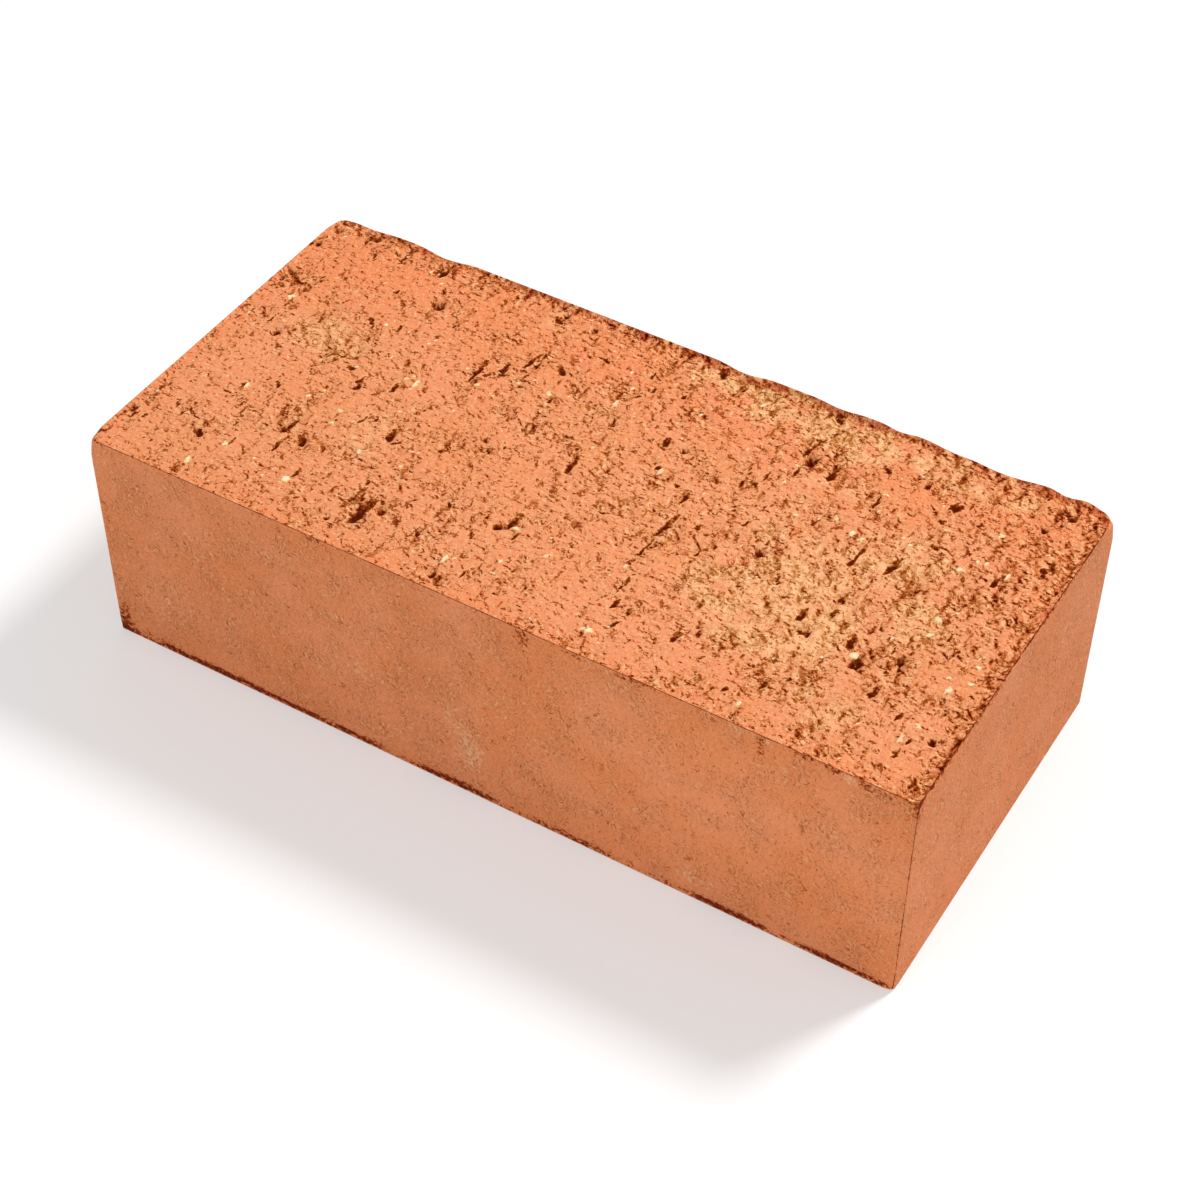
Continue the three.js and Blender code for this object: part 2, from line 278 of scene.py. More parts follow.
# Places on the block are shares of its length, width and height from the left, near, lower
# corner. Marks on the upper bed are millimetres from the left end and from the near side, and
# a turn is in degrees from straight across the brick.
brick = {
    "arrisRadius": 0.4,
    "rubs": [  # place, radius added to the arris, reach
        ([0, 0, 1], 1.5, 5.5), ([1, 0, 0], 0.7, 3), ([0, 1, 1], 1.7, 6.5), ([0.045, 1, 1], 1.2, 9),
        ([0.153, 1, 1], 1.8, 8.5), ([0.553, 1, 1], 1.7, 7.5), ([0.673, 1, 1], 1.1, 7),
        ([0.745, 1, 1], 1.1, 5), ([0.809, 1, 1], 1.2, 7), ([0.868, 1, 1], 2.3, 13),
        ([0.943, 1, 1], 1.5, 5), ([1, 1, 1], 2.8, 8),
    ],
    "cell": 0.56,  # grid of the upper bed; the lower bed has twice that
    "rowsByArris": [0, 0.14, 0.3, 0.5, 0.75, 1.1, 1.55],  # grid lines beside an arris
    "rowsDown": [  # how far below the upper bed the rest of the rings go round the sides
        2.1, 3, 4.5, 7, 10, 14, 18, 22, 26, 30, 34, 38, 42, 45.5, 48.5, 50.5, 52, 53, 53.7,
        54.3, 54.8, 55.2, 55.6, 56, 56.35, 56.65, 56.85, 57,
    ],
    "coarseFrom": 7,  # the row down a side at which every other grid line stops
    "clouds": {  # strength, size of the cells along X, Y and Z, and a seed
        "sandyPatches": (1.0, (6, 6, 6), 11), "sandySlow": (0.25, (25, 25, 25), 12),
        "tornPatches": (0.6, (5, 7, 7), 21), "tornFine": (0.35, (2.2, 3, 3), 22),
        "waves": (0.1, (24, 30, 30), 31), "plucked": (1.0, (2.6, 4, 4), 32),
        "crumbs": (1.0, (1.3, 1.8, 1.8), 33), "heaves": (1.0, (3.2, 4.2, 4), 36),
        "bendX": (0.5, (1.5, 1.5, 1.5), 34), "bendY": (0.5, (1.5, 1.5, 1.5), 35),
        "burnt": (1.0, (5, 4, 4), 37), "burntFine": (0.5, (2, 2, 2), 38),
        "lowTorn": (0.5, (9, 13, 13), 41), "lowTornFine": (0.2, (3, 4, 4), 42),
        "lowPlucked": (1.0, (3, 4, 4), 43), "lowCrumbs": (1.0, (2.4, 2.8, 2.8), 44),
        "lowPits": (1.6, (5, 6, 6), 45), "ragged": (1.0, (2.2, 2.2, 2.2), 51),
        "slow": (0.3, (14, 14, 14), 52), "sideWaves": (0.02, (6, 6, 12), 53),
        "sidePatches": (0.32, (22, 22, 22), 54), "swell": (1.0, (5.5, 5.5, 5.5), 55),
        "seamFade": (0.35, (3, 3, 3), 61), "seamRagged": (0.7, (2.2, 2.2, 2.2), 62),
    },
    # how far in from the rim of each soft ellipse, as a share, its amount is full
    "fullAt": {"sandy": 0.7, "roughPatches": 0.8, "calmPatches": 0.8, "hollows": 0.5},
    "sandyShare": 0.75,
    "sandy": [  # centre, half lengths, amount: where torn clay shows sandy and rough
        (147, 31, 28, 22, 0.9), (121, 87, 40, 12, 2.0), (160, 56, 13, 12, 1.0),
        (174, 42, 11, 11, 0.7), (138, 84, 14, 14, 1.0), (24, 55, 17, 11, 0.6),
        (110, 60, 50, 30, 0.15), (165, 86, 24, 9, 1.6), (64, 86, 12, 10, 1.0),
        (142, 56, 16, 26, 0.4), (170, 64, 14, 16, 0.5), (50, 28, 10, 16, 0.3),
        (150, 70, 25, 14, 0.3), (168, 12, 14, 10, 0.3), (88, 66, 6, 9, 0.3),
    ],
    "redEdge": (0.5, 9),  # how much redder the bed is at its rim, and how far in that reaches
    "redBack": (0.9, 45),  # the same along its far arris
    "tornEverywhere": 0.3,
    "tornToRight": 0.15,  # added at the right end, less and less towards the left one
    "tornWithSandy": 0.3,
    "tornFarRim": [(10, 3, 0.3), (4, 1, 0.5)],  # mm from the rim, where it starts and is full
    "tornRightRim": [(5, 1, 0.45)],
    "roughPatches": [  # centre, half lengths, amount: more tears than elsewhere
        (134, 79, 9, 11, 0.45), (5, 67, 7, 7, 0.45), (60, 13, 7, 9, 0.4), (32, 25, 9, 7, 0.25),
        (186, 72, 9, 22, 0.3), (137, 44, 9, 6, 0.35), (172, 27, 12, 14, 0.3), (88, 4, 6, 4, 0.3),
        (192, 4, 4, 8, 0.5), (63, 65, 6, 8, 0.3), (40, 77, 6, 6, 0.2), (176, 56, 18, 22, 0.2),
        (118, 38, 3, 9, 0.4), (138, 26, 8, 6, 0.2), (25, 53, 11, 8, 0.35), (87, 69, 8, 9, 0.35),
        (105, 73, 8, 6, 0.3), (139, 73, 9, 6, 0.25), (156, 12, 8, 7, 0.3),
    ],
    "calmPatches": [  # the same, fewer tears
        (24, 78, 16, 9, 0.35), (16, 36, 16, 10, 0.25), (52, 50, 9, 9, 0.3), (112, 12, 20, 9, 0.2),
        (100, 60, 12, 8, 0.15), (10, 8, 14, 8, 0.15), (112, 25, 8, 5, 0.2), (84, 36, 14, 6, 0.15),
        (186, 8, 9, 8, 0.6), (136, 8, 10, 8, 0.3), (8, 40, 8, 9, 0.2), (88, 24, 9, 8, 0.2),
        (182, 26, 10, 8, 0.2), (118, 8, 18, 8, 0.25), (157, 7, 12, 6, 0.25), (147, 85, 10, 7, 0.3),
        (105, 23, 8, 10, 0.25), (123, 25, 6, 8, 0.3), (42, 39, 9, 8, 0.25), (87, 38, 9, 8, 0.3),
        (169, 22, 8, 8, 0.3), (92, 11, 9, 8, 0.2),
    ],
    # depths and heights in mm. Pairs: crumbs, and what is added to them where it is torn; how
    # torn the clay is where plucking starts and is full; the same for all of it, in mm from
    # the rim
    "upperRelief": {"sunk": 0.12, "plucked": 0.16, "pluckedFrom": (0.35, 0.7), "heaves": 0.5,
                    "sink": 0.4, "crumbs": (0.06, 0.26), "rim": (0.2, 1.6)},
    "lowerRelief": {"torn": 0.35, "plucked": 0.25, "pluckedFrom": (0.3, 0.7), "pits": 0.9,
                    "fewPits": 0.9, "fullPit": 0.8, "crumbs": (0.04, 0.1), "rim": (0.3, 2.5)},
    # size of a mark's ellipse, times its half width and half length, and depth or height,
    # times its half width
    "pitShape": (1.1, 1.2, -1.2),
    "gougeShape": (1.5, 1.25, -0.9),
    "grainShape": (1.3, 1.15, 0.35),
    "markReach": 1.5,  # how far past its own size a mark may bend
    "markFull": (0.7, 0.6),  # share of the way in where its depth and its painted shade are full
    "pitDark": (0.6, 0.65, 1.3),  # painted shade in a pit: plus, times the radius, and at most
    "gougeDeep": (0.4, 0.6, -0.2, 0.5),  # at its far end, added at its near one, from, to
    "gougeDark": (0.45, 0.6),  # painted shade in a gouge: plus, times how deep it is
    "pits": [  # centre, radius
        (12, 89.3, 1.3), (15.5, 88, 1.0), (2.5, 86.5, 1.1), (1.8, 80.5, 1.0), (2.6, 69, 1.1),
        (2, 66, 0.9), (8.9, 65.4, 1.3), (38, 76, 1.5), (64, 88, 1.1), (51, 88, 0.8),
        (72.3, 87, 1.0), (68, 62.3, 0.8), (91.5, 61.5, 0.8), (88, 63.5, 0.6), (108.7, 62.3, 1.1),
        (105.2, 56, 0.6), (112.8, 52.3, 0.8), (130.2, 57.3, 0.7), (148.4, 54, 0.6),
        (146.7, 59.7, 0.6), (183.2, 80, 1.2), (185.5, 83, 0.7), (33, 24.3, 1.0), (39, 22.2, 1.2),
        (65.3, 13.8, 1.25), (56.9, 6.4, 0.9), (18.8, 13.6, 1.0), (1.8, 13.5, 0.9),
        (23.5, 3.5, 0.7), (84.2, 4.2, 1.0), (86.3, 2.4, 0.9), (113.5, 5.7, 0.6),
        (99.3, 17.8, 0.6), (88, 22.5, 1.1), (71.3, 43.5, 0.9), (92.7, 41.3, 0.7),
        (136.7, 44, 1.4), (141.5, 40.3, 0.6), (146.8, 35.5, 0.6), (131.5, 32.5, 0.6),
        (136.7, 19.3, 0.8), (146.6, 22.7, 0.8), (167, 26, 1.4), (168.8, 25.4, 1.0),
        (167.5, 37.5, 0.7), (179, 39.5, 0.8), (178, 29, 0.6), (189, 15.6, 1.1),
        (190.6, 17, 0.6), (187.7, 23.3, 0.8), (186, 26, 0.7), (168.2, 6.5, 0.6),
        (173.3, 2.5, 0.8), (144, 1.5, 0.7), (125.3, 1.5, 0.5), (12.5, 49.5, 1.3),
        (132.7, 74, 1.7), (174.4, 31.6, 1.3), (175.2, 29.6, 0.8), (36, 76.6, 0.8),
    ],
    "gouges": [  # centre, half length, half width, turn
        (57.7, 62, 5, 0.6, 0), (62, 65.5, 3, 0.7, 4), (32.5, 87, 3, 0.7, 0),
        (104.3, 63, 2, 0.6, 0), (91, 46.6, 3.8, 0.75, 4), (73, 71.3, 2.2, 0.8, 50),
        (103, 89.3, 2.4, 0.9, 40), (131.5, 89.3, 2.4, 0.9, 40), (131.4, 78.2, 5.2, 0.55, -12),
        (138.5, 73, 3.2, 0.9, 0), (132, 69.5, 2.6, 0.45, -4), (150.3, 69.6, 2.6, 0.5, 0),
        (154.3, 53.4, 5.4, 0.5, -3), (161.8, 54.3, 3.8, 0.85, -11), (164.5, 71, 1.1, 0.7, 0),
        (165.7, 76.5, 1.7, 0.7, -25), (116.3, 50, 3, 0.5, -3), (117.2, 41.5, 5, 0.5, -12),
        (116.6, 32.5, 4.5, 0.35, -4), (118.6, 22, 4, 0.35, -4), (119.8, 16, 2.2, 0.5, -6),
        (59, 17, 8, 0.35, 22), (61.7, 12.5, 5.5, 1.1, -4), (35, 19.5, 2.6, 0.6, 4),
        (33.8, 26.6, 2.2, 0.7, -14), (53.7, 34.8, 2.9, 0.9, 8), (90.2, 25.5, 3.6, 0.7, -4),
        (164.1, 31.6, 2.8, 0.8, 8), (152.3, 33, 2.2, 0.8, 0), (155.6, 29, 1.3, 0.7, 30),
        (154.6, 29, 1.3, 0.6, -30), (174, 21.8, 2.8, 0.55, -11), (134.5, 14.3, 2, 0.7, 0),
        (103.5, 37.3, 1.4, 0.4, 80), (28.5, 63.4, 2.1, 0.5, 45), (5.2, 67.4, 3, 0.6, 65),
        (106.3, 74.7, 2, 0.5, 65), (79, 79, 2.1, 0.5, 85), (186, 86, 2.3, 0.7, 60),
        (18.5, 14.2, 1.6, 0.8, 40), (38.6, 23.5, 1.4, 0.9, 35), (155.2, 12, 1.4, 0.6, -30),
        (167.5, 27.6, 1.8, 0.9, 60), (26.4, 15, 2.4, 0.4, 6), (45.5, 47.5, 2.2, 0.5, 0),
        (33.5, 48, 1.6, 0.5, 70), (38.5, 44, 1.8, 0.5, 0), (147.5, 79.5, 2.4, 0.5, 50),
        (63.5, 85.5, 1.8, 0.8, 50), (73.4, 41, 1.5, 0.5, 60), (188.9, 71, 3, 0.5, 20),
        (66, 71, 4, 0.4, -10), (126, 61, 2, 0.5, 70), (184.5, 9.5, 1.6, 0.5, 0),
        (166.2, 63.6, 1.6, 0.6, 55), (181, 61, 2.4, 0.4, 0),
    ],
    "grains": [  # centre, half length, half width, turn: pale grit that stands out of the bed
        (8, 61, 1.1, 0.9, 0), (33, 84.5, 0.9, 0.5, 0), (43.3, 76.5, 1.6, 0.5, 0),
        (48.9, 51, 2.6, 0.45, 0), (46, 51, 1, 0.5, 0), (32, 64, 0.7, 0.6, 0),
        (60.3, 57.5, 0.7, 0.5, 0), (88.7, 68, 1.6, 0.6, 0), (89, 74, 0.9, 0.5, 0),
        (75, 63, 0.7, 0.7, 0), (107.8, 54, 1.7, 0.5, 0), (115.5, 84.2, 0.7, 0.7, 0),
        (161.9, 61.5, 0.8, 0.7, 0), (150.4, 58, 0.9, 0.8, 0), (177.3, 64, 1.0, 0.6, 0),
        (182.3, 63.5, 1.9, 0.5, 0), (173.6, 60, 1.2, 0.8, 80), (25.5, 13.8, 1.3, 0.8, 0),
        (43, 11.5, 1.2, 0.8, 60), (22, 5.7, 1.4, 0.6, 0), (18.2, 31.5, 1.2, 0.6, 0),
        (39.7, 35, 0.7, 0.6, 0), (40.6, 31.2, 0.7, 0.6, 0), (50.9, 26.5, 1.0, 0.7, 0),
        (31.5, 35.5, 0.6, 0.5, 0), (84.2, 8.7, 1.5, 0.6, 0), (91.3, 24, 1.0, 0.9, 0),
        (101.3, 20.2, 0.9, 0.7, 0), (116.3, 26, 0.9, 0.6, 0), (119.2, 6.8, 1.1, 0.9, 0),
        (122, 9.6, 0.6, 0.5, 0), (94.2, 13.8, 0.9, 0.6, 0), (94.5, 10.8, 0.8, 0.4, 0),
        (166.2, 28.3, 1.3, 0.8, 0), (185.8, 28.8, 1.3, 0.7, 0), (185, 32, 0.8, 0.7, 0),
        (189, 32.5, 0.8, 0.7, 0), (185.2, 17.5, 0.8, 0.7, 60), (176, 45, 1.0, 0.9, 0),
        (176.2, 40.3, 1.3, 0.8, 0), (188.3, 37.3, 0.8, 0.7, 0), (153.7, 5, 0.7, 0.6, 0),
        (183.7, 13, 1.6, 0.4, 0), (12.5, 18, 0.6, 0.5, 0), (99, 83.5, 0.8, 0.5, 0),
        (145.5, 60.5, 0.7, 0.6, 0), (176.5, 73.5, 0.9, 0.7, 0),
    ],
    "seed": 5,  # of the marks that are scattered between those
    # how many, smallest and largest half length or radius and half width, spread of the turn
    "morePits": (180, (0.3, 0.65)),
    "moreGouges": (80, (0.7, 2.4), (0.3, 0.5), 15),
    "moreGrains": (160, (0.3, 0.7), (0.22, 0.4), 30),
    "margin": 2,  # how far the scattered marks stay from the rim
    "calmShare": 0.12,  # share of them that stays where nothing is torn
    "tries": 6,  # places drawn for each mark, since many are left out
    "hollows": [  # centre, half lengths, depth: where the wire tore the clay off
        (152, 30, 26, 19, 0.35), (130, 86, 32, 7, 0.35), (17, 59, 9, 7, 0.3),
        (124, 38, 6, 10, 0.3), (62, 66, 5, 5, 0.25), (186, 76, 7, 14, 0.2), (137, 73, 8, 6, 0.25),
    ],
    "burntFar": (4.5, 0.5),  # clay burnt dark: mm from the far arris, where it starts and is full
    "burntAmount": 0.26,
    "burntToRight": (60, 150, 0.22),  # added to that from the one place to the other
    "burntRagged": 1.2,
    "burntRight": (3, 0.6, 0.5),  # the same beside the right arris: reach, amount, share
    "burntCorner": (8, 0.4),
    "nearArrisShadow": (0.2, 0.85),  # painted shadow of a burr on an arris, a dark hairline: half width, strength
    "uprightArrisShadow": (0.2, 0.6),
    "rightArrisShadow": (0.45, 0.9),
    "crease": {  # torn crease low on the near side
        "spans": [  # centre, half length, strength
            (34, 30, 1.0), (65, 8, 0.6), (90, 12, 0.95), (120, 12, 0.5), (157, 11, 0.85),
            (179, 8, 0.85), (189, 5, 0.5),
        ],
        "everywhere": 0.35, "fromArris": 0.95, "wander": 0.45, "halfWidth": 1.15, "swell": 0.55,
        "core": 1.3, "ragged": 0.3,
    },
    "endCrease": {  # the same, high on the right end
        "spans": [(6, 8, 1.0), (25, 18, 0.8), (64, 15, 0.8), (85, 6, 0.4)],
        "everywhere": 0.0, "fromArris": 0.5, "wander": 0.3, "halfWidth": 0.9, "swell": 0.0,
        "core": 1.0, "ragged": 0.35,
    },
    "creaseDepth": 0.3,
    # painted shade in the torn creases, carried with the stains
    "creaseDark": 0.88,
    "creaseMost": 1.1,
    "creaseEnds": 0.5,  # share of a span's half length over which it fades
    "blooms": [  # centre along and up the near side, half lengths, amount of white bloom
        (90, 21.5, 4, 6.5, 0.65), (94.5, 13.5, 4.8, 8.5, 1.0), (67, 23, 5, 5, 0.5),
        (101, 33, 6, 7, 0.35), (147, 6.5, 4, 5, 0.7), (57, 18, 4, 4, 0.4),
        (151.5, 6, 2.5, 3, 0.6), (72, 8, 9, 6, 0.35), (112, 28, 14, 9, 0.2), (14, 12, 8, 10, 0.3),
        (74, 46, 7, 12, 0.2), (180, 55.6, 1.8, 1.8, 1.3), (162, 56, 2.4, 1.6, 0.8),
        (156, 56, 2.4, 1.6, 0.7), (124, 55.8, 4, 2, 0.4),
    ],
    "stains": [  # the same, of dark marks
        (0, 0, 7.5, 8, 0.9), (2.2, 6, 2.4, 6.5, 0.55), (108, 55, 2.6, 4, 0.65),
        (176.5, 56.5, 2.5, 1.4, 0.8), (182.8, 56, 2, 1.8, 0.8), (187, 55.5, 4, 2, 0.5),
        (170, 56.5, 6, 1.2, 0.5), (134, 56.5, 8, 1.2, 0.45), (120, 56.5, 4, 1.5, 0.5),
        (161.3, 54.5, 1.2, 4.5, 0.8), (58, 57, 4.5, 2, 0.6), (194, 57, 4, 6, 0.8),
        (2, 57, 4, 1.5, 0.5),
    ],
    "endStains": [(0, 57, 3, 7, 0.8)],  # the same on the right end, from its near arris
    "paler": [  # the same, of paler skin, or darker where the amount is negative
        (152, 28, 62, 60, 1.2), (84, 32, 9, 26, -0.8), (30, 20, 40, 40, -0.35),
        (8, 44, 16, 16, -0.3),
    ],
    "endPaler": (0.05, -0.9),  # on the right end: at its near arris, and added at its far one
}

hair = 1e-6  # closer together than this is the same place
latticeShift = 500.0  # keeps the numbers of a cloud's cells positive
latticePrimes = (73856093, 19349663, 83492791)
seedPrime = 7919
mixPrime = 1274126177
cloudGain = 1.6


# Random slopes on a lattice of cells, each ten bits of a hash, blended from corner to corner
# by the S curve 6 t^5 - 15 t^4 + 10 t^3: about -1 to 1, times the cloud's strength
def cloud(points, name):
    strength, cell, seed = brick["clouds"][name]
    spot = points / np.array(cell, float) + latticeShift
    base = np.floor(spot).astype(np.int64)
    inside = spot - base
    fade = inside**3 * (inside * (inside * 6 - 15) + 10)
    total = np.zeros(len(points))
    for corner in np.ndindex(2, 2, 2):
        code = ((base + corner) * latticePrimes).sum(axis=1) + seed * seedPrime
        code = ((code ^ (code >> 13)) * mixPrime) & 0xFFFFFFFF
        code ^= code >> 15
        slopes = np.stack([(code >> shift) & 1023 for shift in (0, 10, 20)], axis=1) / 511.5 - 1
        weight = np.prod(np.where(corner, fade, 1 - fade), axis=1)
        total += weight * ((inside - corner) * slopes).sum(axis=1)
    return strength * (cloudGain * total)


# 0 below low, 1 above high, and the S curve 3 t^2 - 2 t^3 between
def ease(value, low, high):
    share = np.clip((value - low) / (high - low), 0.0, 1.0)
    return share * share * (3 - 2 * share)


# A turned ellipse: 1 in its middle and falling straight to 0 at its rim, and how far along
# its second axis a point lies, from -1 at the near end to 1 at the far one
def ellipse(x, y, spotX, spotY, halfX, halfY, turn=0.0):
    cosine, sine = np.cos(radians(turn)), np.sin(radians(turn))
    alongX = ((x - spotX) * cosine + (y - spotY) * sine) / halfX
    alongY = ((y - spotY) * cosine - (x - spotX) * sine) / halfY
    return np.clip(1 - np.hypot(alongX, alongY), 0, 1), alongY


def cone(x, y, *spot):
    return ellipse(x, y, *spot)[0]


# The sum of many soft ellipses, each its amount times ease(cone, 0, where it is full)
def patches(x, y, name):
    full = brick["fullAt"][name]
    return sum(amount * ease(cone(x, y, *spot), 0, full) for *spot, amount in brick[name])


# Grid lines from minus to plus half a span: close beside both arrises, and an even number of
# equal steps between
def gridLines(span):
    near = np.array(brick["rowsByArris"]) - span / 2
    start = brick["rowsByArris"][-1] - span / 2
    steps = 2 * round(-start / brick["cell"])
    even = np.linspace(start, -start, steps + 1)
    return np.concatenate([near[:-1], even, -near[:-1][::-1]])


# The closed skin of a block: a grid for the upper bed at z = height, rings of its border at
# z = height - depth for each row down the sides, one ring where every other line stops, and a
# grid of half the lines for the lower bed at z = 0
def blockSkin():
    xs, ys = gridLines(length), gridLines(width)
    index = np.arange(len(xs) * len(ys)).reshape(len(ys), len(xs))
    points = [gridAt(xs, ys, height)]
    quads = [quadsOfGrid(index)]
    triangles = []
    ring = np.concatenate([index[0, :-1], index[:-1, -1], index[-1, :0:-1], index[:0:-1, 0]])
    border = points[0][ring]
    count = index.size
    for row, depth in enumerate(brick["rowsByArris"][1:] + brick["rowsDown"]):
        if row == brick["coarseFrom"]:
            border = border[::2]
        newRing = count + np.arange(len(border))
        points.append(np.column_stack([border[:, :2], np.full(len(border), height - depth)]))
        count += len(border)
        if len(newRing) == len(ring):
            quads.append(quadsOfRings(ring, newRing))
        else:
            triangles.append(trianglesOfHalving(ring, newRing))
        ring = newRing
    points.append(gridAt(xs[::2][1:-1], ys[::2][1:-1], 0.0))
    quads.append(quadsOfGrid(lowerIndex(ring, len(xs[::2]), len(ys[::2]), count))[:, ::-1])
    return np.concatenate(points), np.concatenate(quads), np.concatenate(triangles)


# Points (x, y, z) for each y, and for each x in it
def gridAt(xs, ys, z):
    gridX, gridY = np.meshgrid(xs, ys)
    return np.stack([gridX.ravel(), gridY.ravel(), np.full(gridX.size, z)], axis=1)


# One quad for each cell of a grid of point numbers, counterclockwise from above
def quadsOfGrid(index):
    corners = [index[:-1, :-1], index[:-1, 1:], index[1:, 1:], index[1:, :-1]]
    return np.stack([corner.ravel() for corner in corners], axis=1)


# One quad for each step along two rings of as many points
def quadsOfRings(upper, lower):
    return np.stack([upper, lower, np.roll(lower, -1), np.roll(upper, -1)], axis=1)


# Three triangles for each pair of cells, from a ring to one with half as many points
def trianglesOfHalving(fine, coarse):
    first, middle, last = fine[::2], fine[1::2], np.roll(fine, -2)[::2]
    nextCoarse = np.roll(coarse, -1)
    fans = [(first, coarse, middle), (middle, coarse, nextCoarse), (middle, nextCoarse, last)]
    return np.concatenate([np.stack(fan, axis=1) for fan in fans])


# Point numbers of the lower bed: its border is the last ring, and new points are inside it
def lowerIndex(ring, along, across, count):
    index = np.zeros((across, along), int)
    inner = (across - 2, along - 2)
    index[1:-1, 1:-1] = count + np.arange(inner[0] * inner[1]).reshape(inner)
    sides = np.split(ring, np.cumsum([along - 1, across - 1, along - 1]))
    index[0, :-1], index[:-1, -1], index[-1, :0:-1], index[:0:-1, 0] = sides
    return index


# Each point of the block is put at the edge radius from a core that is smaller than the
# block by that radius: core + radius x (point - core) / |point - core|. The radius grows
# towards each rubbed place, as a raised cosine.
def roundArrises(points):
    radius = np.full(len(points), brick["arrisRadius"])
    for place, added, reach in brick["rubs"]:
        away = np.linalg.norm(points - np.array(place) * size - lowCorner, axis=1)
        radius += added * (1 + np.cos(np.pi * np.clip(away / reach, 0, 1))) / 2
    radius = radius[:, None]
    core = np.clip(points, lowCorner + radius, highCorner - radius)
    out = points - core
    out /= np.linalg.norm(out, axis=1)[:, None]
    return core + out * radius, out


# The marks of the upper bed, each (x, y, half length, half width, turn): those listed, then
# smaller ones scattered more densely where the bed is torn
def scatterMarks():
    random = np.random.default_rng(brick["seed"])
    margin, calm = brick["margin"], brick["calmShare"]

    def spots(count):
        far = [length - margin, width - margin]
        places = random.uniform([margin, margin], far, (count * brick["tries"], 2))
        keep = random.random(len(places)) < calm + (1 - calm) * tornAt(places)
        return places[keep][:count]

    def strokes(count, halfLong, halfWide, turn):
        return [
            (x, y, random.uniform(*halfLong), random.uniform(*halfWide), random.normal(0, turn))
            for x, y in spots(count)
        ]

    count, radii = brick["morePits"]
    pits = brick["pits"] + [(x, y, random.uniform(*radii)) for x, y in spots(count)]
    gouges = brick["gouges"] + strokes(*brick["moreGouges"])
    grains = brick["grains"] + strokes(*brick["moreGrains"])
    return [(x, y, radius, radius, 0) for x, y, radius in pits], gouges, grains


def flat(places):
    return np.column_stack([places, np.zeros(len(places))])


# How sandy the upper bed is at a place, 1 at most: soft ellipses times a cloud; below 0 it is
# redder than elsewhere, down to -1
def sandyAt(places):
    x, y = places.T
    amount = patches(x, y, "sandy") * (brick["sandyShare"] + cloud(flat(places), "sandyPatches"))
    for (red, reach), rim in (
        (brick["redEdge"], np.minimum(np.minimum(x, length - x), y)),
        (brick["redBack"], width - y),
    ):
        amount -= red * ease(rim, reach, 0)
    return np.clip(amount - cloud(flat(places), "sandySlow"), -1, 1)


# How torn the upper bed is at a place, 0 to 1: more to the right, where it is sandy, in the
# rough patches and along two rims, less in the calm patches, with clouds over all
def tornAt(places):
    x, y = places.T
    amount = brick["tornEverywhere"] + brick["tornToRight"] * x / length
    amount += brick["tornWithSandy"] * np.maximum(sandyAt(places), 0)
    amount += patches(x, y, "roughPatches")
    amount -= patches(x, y, "calmPatches")
    for rim, spans in ((width - y, brick["tornFarRim"]), (length - x, brick["tornRightRim"])):
        amount += sum(more * ease(rim, start, full) for start, full, more in spans)
    amount += cloud(flat(places), "tornPatches") + cloud(flat(places), "tornFine")
    return np.clip(amount, 0, 1)


# Height of the upper bed over its plane: slow waves, less the hollows and the clay plucked
# out where it is torn, and crumbs. Then each pit and gouge is sunk and each grain raised by
# its depth or height times an eased cone over a bent ellipse. Towards the rim it all fades.
def tearUpperBed(points):
    places = points[:, :2] - lowCorner[:2]
    x, y = places.T
    torn = tornAt(places)
    form = brick["upperRelief"]
    crumb, tornCrumb = form["crumbs"]
    relief = cloud(points, "waves") - form["sunk"] - patches(x, y, "hollows")
    relief -= form["plucked"] * ease(torn, *form["pluckedFrom"]) * (1 + cloud(points, "plucked"))
    relief += (crumb + tornCrumb * torn) * cloud(points, "crumbs")
    relief += form["heaves"] * torn * (cloud(points, "heaves") - form["sink"])
    bentX, bentY = x + cloud(points, "bendX"), y + cloud(points, "bendY")
    pit, grit = np.zeros(len(points)), np.zeros(len(points))
    kinds = zip(
        scatterMarks(),
        (brick["pitShape"], brick["gougeShape"], brick["grainShape"]),
        (showPit, showGouge, showGrain),
        (pit, pit, grit),
    )
    for marks, (wide, long, rise), showMark, into in kinds:
        for spotX, spotY, halfLong, halfWide, turn in marks:
            near = np.hypot(x - spotX, y - spotY) < halfLong + halfWide + brick["markReach"]
            spot = (spotX, spotY, wide * halfWide, long * halfLong, turn)
            inside, along = ellipse(bentX[near], bentY[near], *spot)
            amount, shape = showMark(inside, along, halfWide)
            relief[near] += rise * halfWide * shape
            into[near] = np.maximum(into[near], amount)
    rim = np.minimum(np.minimum(x, length - x), np.minimum(y, width - y))
    shows = {"torn": torn, "sandy": sandyAt(places), "pit": pit, "grit": grit,
             "seam": arrisShadowLine(points), "sootAndCreaseShade": burntAt(points)}
    return relief * ease(rim, *form["rim"]), shows


# What a mark shows and how deep it is inside its ellipse. A pit or a gouge shows painted shade:
# a larger pit is darker, and a gouge is deeper and darker at its near end, where the grain came
# to rest
def showPit(inside, along, radius):
    plus, times, most = brick["pitDark"]
    return inside * min(most, plus + times * radius), ease(inside, 0, brick["markFull"][0])


def showGouge(inside, along, halfWide):
    least, more, start, end = brick["gougeDeep"]
    deep = least + more * ease(-along, start, end)
    plus, times = brick["gougeDark"]
    full, fullDark = brick["markFull"]
    return ease(inside, 0, fullDark) * (plus + times * deep), deep * ease(inside, 0, full)


def showGrain(inside, along, halfWide):
    return inside, ease(inside, 0, brick["markFull"][0])


